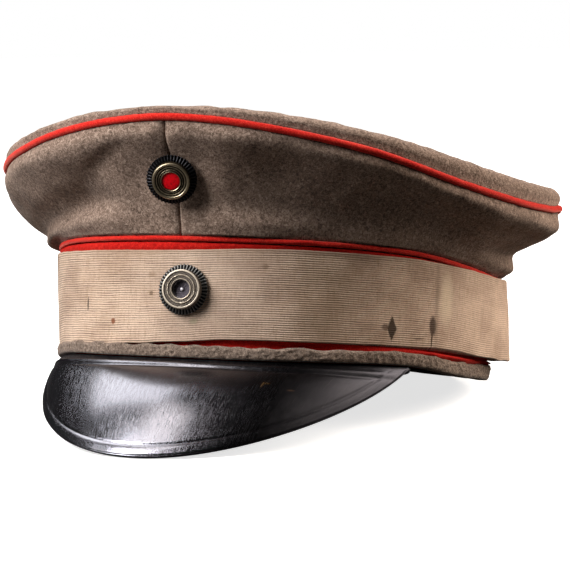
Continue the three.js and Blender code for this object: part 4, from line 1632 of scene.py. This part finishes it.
@dataclass
class Cockade:
    """A dark pleated rosette with a turned metal ring and a sunk centre."""

    style: CockadeStyle
    angle: float
    up: float
    turn: float
    seat: float
    ring_radius: float
    ring_rise: float
    follow: float = 0.75
    radius: float = 9.4
    teeth: int = 44
    tooth: float = 0.3
    plate: float = 1.2
    gap: float = 0.3
    bore: float = 3.35
    centre_radius: float = 3.0
    centre_rise: float = 1.0
    centre_fit: float = 0.3
    groove: float = 0.6
    sharp: float = 60.0

    def frame(self) -> tuple[Array, Array]:
        """Where the cockade sits: on the tape's face, or on the crown's wall and leaning with it.

        Returns:
            The middle of its back, and its axes as rows: across, upward and outward.
        """
        outward = OVAL.outward(np.array(self.angle))
        if self.style is CockadeStyle.GRANULATED:
            low, high = TAPE("low_up", self.angle), TAPE("high_up", self.angle)
            share = (self.up - low) / (high - low)
            face = TAPE("low_out", self.angle) * (1 - share) + TAPE("high_out", self.angle) * share
            back = OVAL.beside(self.angle, face + self.seat, self.up)
            outward = turn_left(outward, self.turn)
        else:
            t = np.linspace(0, 1, 1001)
            line, slope = Crown().line(np.array([[self.angle]]), t)
            k = int(np.searchsorted(line[0, :, 1], self.up))
            (out, up), (lean, climb) = line[0, k], slope[0, k] / np.linalg.norm(slope[0, k])
            outward = turn_left(outward, self.turn) * climb + np.array([0, 0, -self.follow * lean])
            outward /= np.linalg.norm(outward)
            back = OVAL.beside(self.angle, out, up) + outward * self.seat
        across = np.cross([0, 0, 1.0], outward)
        across /= np.linalg.norm(across)
        return back, np.stack([across, np.cross(outward, across), outward])

    def place(self, x: Array, y: Array, z: Array) -> Array:
        """Points across, up and out from the middle of the cockade's back."""
        back, axes = self.frame()
        return back + np.stack(np.broadcast_arrays(x, y, z), -1) @ axes

    def turned(self, name: str, profile: Sequence[tuple[float, float]], sides: int,
               grains: Optional[Grains] = None) -> bpy.types.Object:
        """A turned piece: a profile of radius and rise, carried round the axis.

        Args:
            name: the piece's name.
            profile: corners from the back's rim over the front, closed at the back.
            sides: how many sections go round.
            grains: the grains on its face, or None for a smooth one.

        Returns:
            The piece.
        """
        turn = np.linspace(0, 2 * math.pi, sides + 1)[:, None]
        radius, rise = (np.array(column)[None, :] for column in zip(*profile))
        z = rise + 0 * turn
        if grains:
            z = z + grains.heights(sides, radius, rise)
        points = self.place(radius * np.cos(turn), radius * np.sin(turn), z)
        proud = np.clip(1 + (z - rise.max()) / self.groove, 0, 1)
        flat = np.stack([radius + 0 * turn, proud], -1)
        return make_piece(name, [Patch(points, flat)], sharp=self.sharp)

    def rosette(self) -> bpy.types.Object:
        """Pleated ribbon: folds round the axis, each a whole cosine wave of radius and rise.

        They swell towards the toothed rim, and the ribbon slopes back to it.

        Returns:
            The piece.
        """
        turn = np.linspace(0, 2 * math.pi, self.teeth * 8 + 1)[:, None]
        fold = 0.5 + 0.5 * np.cos(turn * self.teeth)
        reach = np.concatenate([np.linspace(0, 0.55, 4), np.linspace(0.62, 1, 12)])[None, :]
        strength = ease(reach, 0.5, 0.85)
        radius = self.radius * reach - self.tooth * (1 - fold) * strength
        rise = self.plate + 0.25 - 0.85 * ease(reach, 0.74, 1.0) + 0.22 * (fold - 0.5) * strength
        back = np.array([0.9, 0.0])[None, :]
        radius = np.concatenate([radius, back * radius[:, -1:]], 1)
        rise = np.concatenate([rise, 0 * back + 0 * turn], 1)
        proud = np.concatenate([0.15 + 0.85 * fold * strength, 0 * back + 0 * turn], 1)
        points = self.place(radius * np.cos(turn), radius * np.sin(turn), rise)
        flat = np.stack([radius, proud], -1)
        return make_piece(f"{self.style.value}_rosette", [Patch(points, flat)])

    def ring_profile(self) -> list[tuple[float, float]]:
        """The ring's section: ridges and grooves from the rim in to the bore.

        Each corner is a radius and how far it lies under the ring's top.

        Returns:
            Corners of radius and rise, closed at the back.
        """
        if self.style is CockadeStyle.ENAMELLED:
            face = [(7.05, 0.95), (7.0, 0.64), (6.8, 0.28), (6.45, 0.06), (6.1, 0.04), (5.85, 0.3),
                    (5.68, 0.56), (5.48, 0.42), (5.24, 0.26), (5.02, 0.36), (4.86, 0.62),
                    (4.72, 0.68), (4.56, 0.5), (4.34, 0.32), (4.14, 0.4), (3.98, 0.66),
                    (3.88, 0.62), (3.78, 0.34), (3.62, 0.04), (3.46, 0.1), (3.35, 0.42)]
        else:
            face = [(7.35, 0.9), (7.3, 0.55), (7.1, 0.2), (6.8, 0.04), (6.5, 0.12), (6.38, 0.6),
                    *((r, 0.42) for r in np.arange(6.26, 5.5, -0.15)),
                    (5.42, 0.62), (5.3, 0.16), (5.1, 0.0), (4.9, 0.12), (4.78, 0.6),
                    *((r, 0.4) for r in np.arange(4.66, 4.1, -0.14)),
                    (4.02, 0.6), (3.88, 0.2), (3.7, 0.02), (3.5, 0.1), (3.35, 0.45)]
        base = self.plate + self.gap
        corners = [(r, base + self.ring_rise - under) for r, under in face]
        return [(self.bore, base), (self.ring_radius, base), *corners, (self.bore, base)]

    def ring(self) -> bpy.types.Object:
        """The ring, smooth or with granulated zones between its ridges."""
        grains = None if self.style is CockadeStyle.ENAMELLED else Grains(0.1, 4.1, 6.3, seed=5)
        return self.turned(f"{self.style.value}_ring", self.ring_profile(), 168, grains)

    def centre(self) -> bpy.types.Object:
        """The centre: a shallow enamel dome, a quarter ellipse, or a grained dish with a boss.

        Returns:
            The piece.
        """
        base, name = self.plate + self.gap, f"{self.style.value}_center"
        r, h = self.centre_radius + self.centre_fit, self.centre_rise
        foot = [(0, base), (r, base)]
        if self.style is CockadeStyle.ENAMELLED:
            dome = [(r * math.cos(a), base + h * (1.2 + 0.35 * math.sin(a)))
                    for a in np.linspace(0, math.pi / 2, 9)]
            return self.turned(name, [*foot, *dome], 64)
        dish = [(q, base + h * (0.35 + 0.08 * q)) for q in np.arange(r - 0.2, 0.8, -0.18)]
        boss = [(q, base + h * share)
                for q, share in ((0.7, 0.66), (0.5, 0.92), (0.25, 1.0), (0, 1.02))]
        profile = [*foot, (r, base + 0.8 * h), *dish, *boss]
        return self.turned(name, profile, 72, Grains(0.13, 0.75, 3.25, seed=9))

    def build(self) -> Iterator[bpy.types.Object]:
        """Makes the rosette, the ring and the centre, each in its own finish.

        Yields:
            Each finished piece.
        """
        style = self.style.value
        if self.style is CockadeStyle.ENAMELLED:
            ribbon = OldMetal("upper_ribbon", 0x2C2B2D, 0x0B0B0C, 0.42, 0.5)
            plate, plate_slot = OldMetal("upper_plate", 0xB8A98E, 0x3C3328, 0.36, 0.9), "ring_nickel"
            centre, centre_slot = RedEnamel(), "red_enamel"
        else:
            ribbon = OldMetal("lower_ribbon", 0x74726F, 0x16171B, 0.42, 0.5)
            plate = OldMetal("lower_plate", 0xE2D3BF, 0x5A5048, 0.42, 0.3, metal=0.45)
            centre = OldMetal("lower_dish", 0xD8D2DA, 0x575058, 0.45, 0.4, metal=0.4)
            plate_slot, centre_slot = "ring_silver", "center_silver"
        for piece, finish, slot, part in ((self.rosette(), ribbon, "rosette_metal", "rosette"),
                                          (self.ring(), plate, plate_slot, "ring"),
                                          (self.centre(), centre, centre_slot, "center")):
            yield fit(piece, finish.look(), slot, f"{style}_cockade_{part}")


# ------------------------------------------------------------------ stage
@dataclass(frozen=True)
class Lamp:
    """A softbox: its angles round the cap as the camera sees it, its size, power and colour."""

    name: str
    azimuth: float
    height: float
    distance: float
    width: float
    tall: float
    power: float
    colour: tuple[float, float, float] = (1.0, 1.0, 1.0)


@dataclass(frozen=True)
class Studio:
    """The camera, the softboxes, the pale floor and the white surround."""

    turn: float = 21.3
    rise: float = -3.5
    roll: float = 2.4
    distance: float = 1070.0
    focus: float = 2675.0
    aim: tuple[float, float] = (4.7, 24.0)
    target: tuple[float, float, float] = (0.0, 0.0, 25.0)
    picture: float = 570.0
    sensor: float = 36.0
    near: float = 0.05
    far: float = 20.0
    lamp_aim: float = 0.05
    floor_reach: float = 6.0
    floor_dark: Colour = (0.05, 0.048, 0.046, 1)
    floor_pale: Colour = (0.86, 0.86, 0.86, 1)
    white: Colour = (1, 1, 1, 1)
    spill: float = 0.01
    lamps: tuple[Lamp, ...] = (
        Lamp("key", -62, 36, 1.2, 0.45, 0.7, 18.8),
        Lamp("left_bank", -132, 56, 1.2, 0.75, 0.85, 9.4),
        Lamp("right_bank", 104, 27, 1.2, 0.9, 0.7, 21.0, (1.0, 0.9, 0.8)),
        Lamp("front_fill", -52, 62, 1.4, 0.54, 0.54, 4.8, (1.0, 0.95, 0.9)),
    )

    def camera_axes(self) -> tuple[Array, Array, Array]:
        """Works out the camera's axes in the upright cap's frame, from its turn, rise and roll.

        Returns:
            Backward, rightward and upward unit vectors.
        """
        turn, rise, roll = (math.radians(v) for v in (self.turn, self.rise, self.roll))
        back = np.array([math.sin(turn) * math.cos(rise), -math.cos(turn) * math.cos(rise),
                         math.sin(rise)])
        right = np.array([math.cos(turn), math.sin(turn), 0.0])
        up = np.cross(back, right)
        c, s = math.cos(roll), math.sin(roll)
        return back, right * c + up * s, up * c - right * s

    def camera(self) -> None:
        """Makes the camera, turned a little so that the cap sits where it should in its view."""
        back, right, up = self.camera_axes()
        place = REST.stand(np.array(self.target) + back * self.distance)
        ahead = -back + right * self.aim[0] / self.focus + up * self.aim[1] / self.focus
        z = Vector(REST.turn(-ahead)).normalized()
        x = Vector(REST.turn(right))
        x = (x - z * x.dot(z)).normalized()
        lens = bpy.data.cameras.new("camera")
        lens.sensor_width = self.sensor
        lens.lens = self.sensor * self.focus / self.picture
        lens.clip_start, lens.clip_end = self.near, self.far
        camera = bpy.data.objects.new("camera", lens)
        turned = Matrix((x, z.cross(x), z)).transposed().to_4x4()
        camera.matrix_world = Matrix.Translation(place) @ turned
        bpy.context.scene.collection.objects.link(camera)
        bpy.context.scene.camera = camera

    def light(self, lamp: Lamp) -> None:
        """Hangs a softbox round the cap, facing its middle.

        Args:
            lamp: the softbox.
        """
        azimuth, height = math.radians(self.turn + lamp.azimuth), math.radians(lamp.height)
        way = Vector((math.sin(azimuth) * math.cos(height), -math.cos(azimuth) * math.cos(height),
                      math.sin(height)))
        data = bpy.data.lights.new(lamp.name, "AREA")
        data.shape, data.size, data.size_y = "RECTANGLE", lamp.width, lamp.tall
        data.energy, data.color = lamp.power, lamp.colour
        light = bpy.data.objects.new(lamp.name, data)
        light.location = way * lamp.distance + Vector((0, 0, self.lamp_aim))
        light.rotation_mode = "QUATERNION"
        light.rotation_quaternion = way.to_track_quat("Z", "Y")
        light.visible_camera = False
        bpy.context.scene.collection.objects.link(light)

    def floor(self) -> None:
        """Lays the floor, which throws little light back up and shows only from above."""
        mesh = bpy.data.meshes.new("floor")
        corner = self.floor_reach
        mesh.from_pydata([(-corner, -corner, 0), (corner, -corner, 0), (corner, corner, 0),
                          (-corner, corner, 0)], [], [(0, 1, 2, 3)])
        floor = bpy.data.objects.new("floor", mesh)
        bpy.context.scene.collection.objects.link(floor)
        material = bpy.data.materials.new("pale_floor")
        material.use_nodes = True
        board = Board(material.node_tree)
        seen = board.add("ShaderNodeLightPath", output="Is Camera Ray")
        pale = board.mix(self.floor_dark, self.floor_pale, seen)
        matt = board.add("ShaderNodeBsdfDiffuse", {}, {"Color": pale})
        away = board.add("ShaderNodeVectorMath", {"operation": "LENGTH"}, {0: board.space()}, "Value")
        strength = seen * (0.74 + 0.26 * away.over(0.25, 1.0))
        glow = board.add("ShaderNodeEmission", {}, {"Color": self.white, "Strength": strength})
        lit = board.add("ShaderNodeAddShader", {}, {0: matt, 1: glow})
        behind = board.add("ShaderNodeNewGeometry", output="Backfacing")
        clear = board.add("ShaderNodeBsdfTransparent")
        top_only = board.add("ShaderNodeMixShader", {}, {0: behind, 1: lit, 2: clear})
        board.add("ShaderNodeOutputMaterial", {}, {"Surface": top_only})
        mesh.materials.append(material)
        floor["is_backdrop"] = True

    def surround(self) -> None:
        """A white backdrop that itself gives only a little light."""
        world = bpy.data.worlds.new("surround")
        bpy.context.scene.world = world
        world.use_nodes = True
        board = Board(world.node_tree)
        seen = board.add("ShaderNodeLightPath", output="Is Camera Ray")
        strength = self.spill + (1 - self.spill) * seen
        glow = board.add("ShaderNodeBackground", {}, {"Color": self.white, "Strength": strength})
        board.add("ShaderNodeOutputWorld", {}, {"Surface": glow})

    def build(self) -> None:
        """Sets up the whole stage."""
        self.camera()
        self.floor()
        self.surround()
        for lamp in self.lamps:
            self.light(lamp)
        bpy.context.scene.view_settings.view_transform = "Standard"


# ------------------------------------------------------------------ assembly
def corners(box: tuple[Vector, Vector]) -> list[list[float]]:
    """A box's two corners as plain lists."""
    return [list(corner) for corner in box]


def main() -> None:
    """Loads the frame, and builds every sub-assembly round it."""
    logging.basicConfig(level=logging.INFO, format="%(name)s: %(message)s")
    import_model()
    frame_box = corners(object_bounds())
    makers = (Crown(), Pipings(), Band(), CoverTape(), Welt(), Visor(),
              Cockade(CockadeStyle.ENAMELLED, angle=-0.2, up=65.0, turn=15, seat=2.6,
                      ring_radius=7.05, ring_rise=1.9),
              Cockade(CockadeStyle.GRANULATED, angle=1.6, up=24.6, turn=4, seat=0.5,
                      ring_radius=7.35, ring_rise=2.5))
    count = sum(1 for maker in makers for _ in maker.build())
    Studio().build()
    LOG.info("%d pieces in all", count)
    sizes = {"frame": frame_box, "dressed": corners(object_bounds())}


if __name__ == "__main__":
    main()
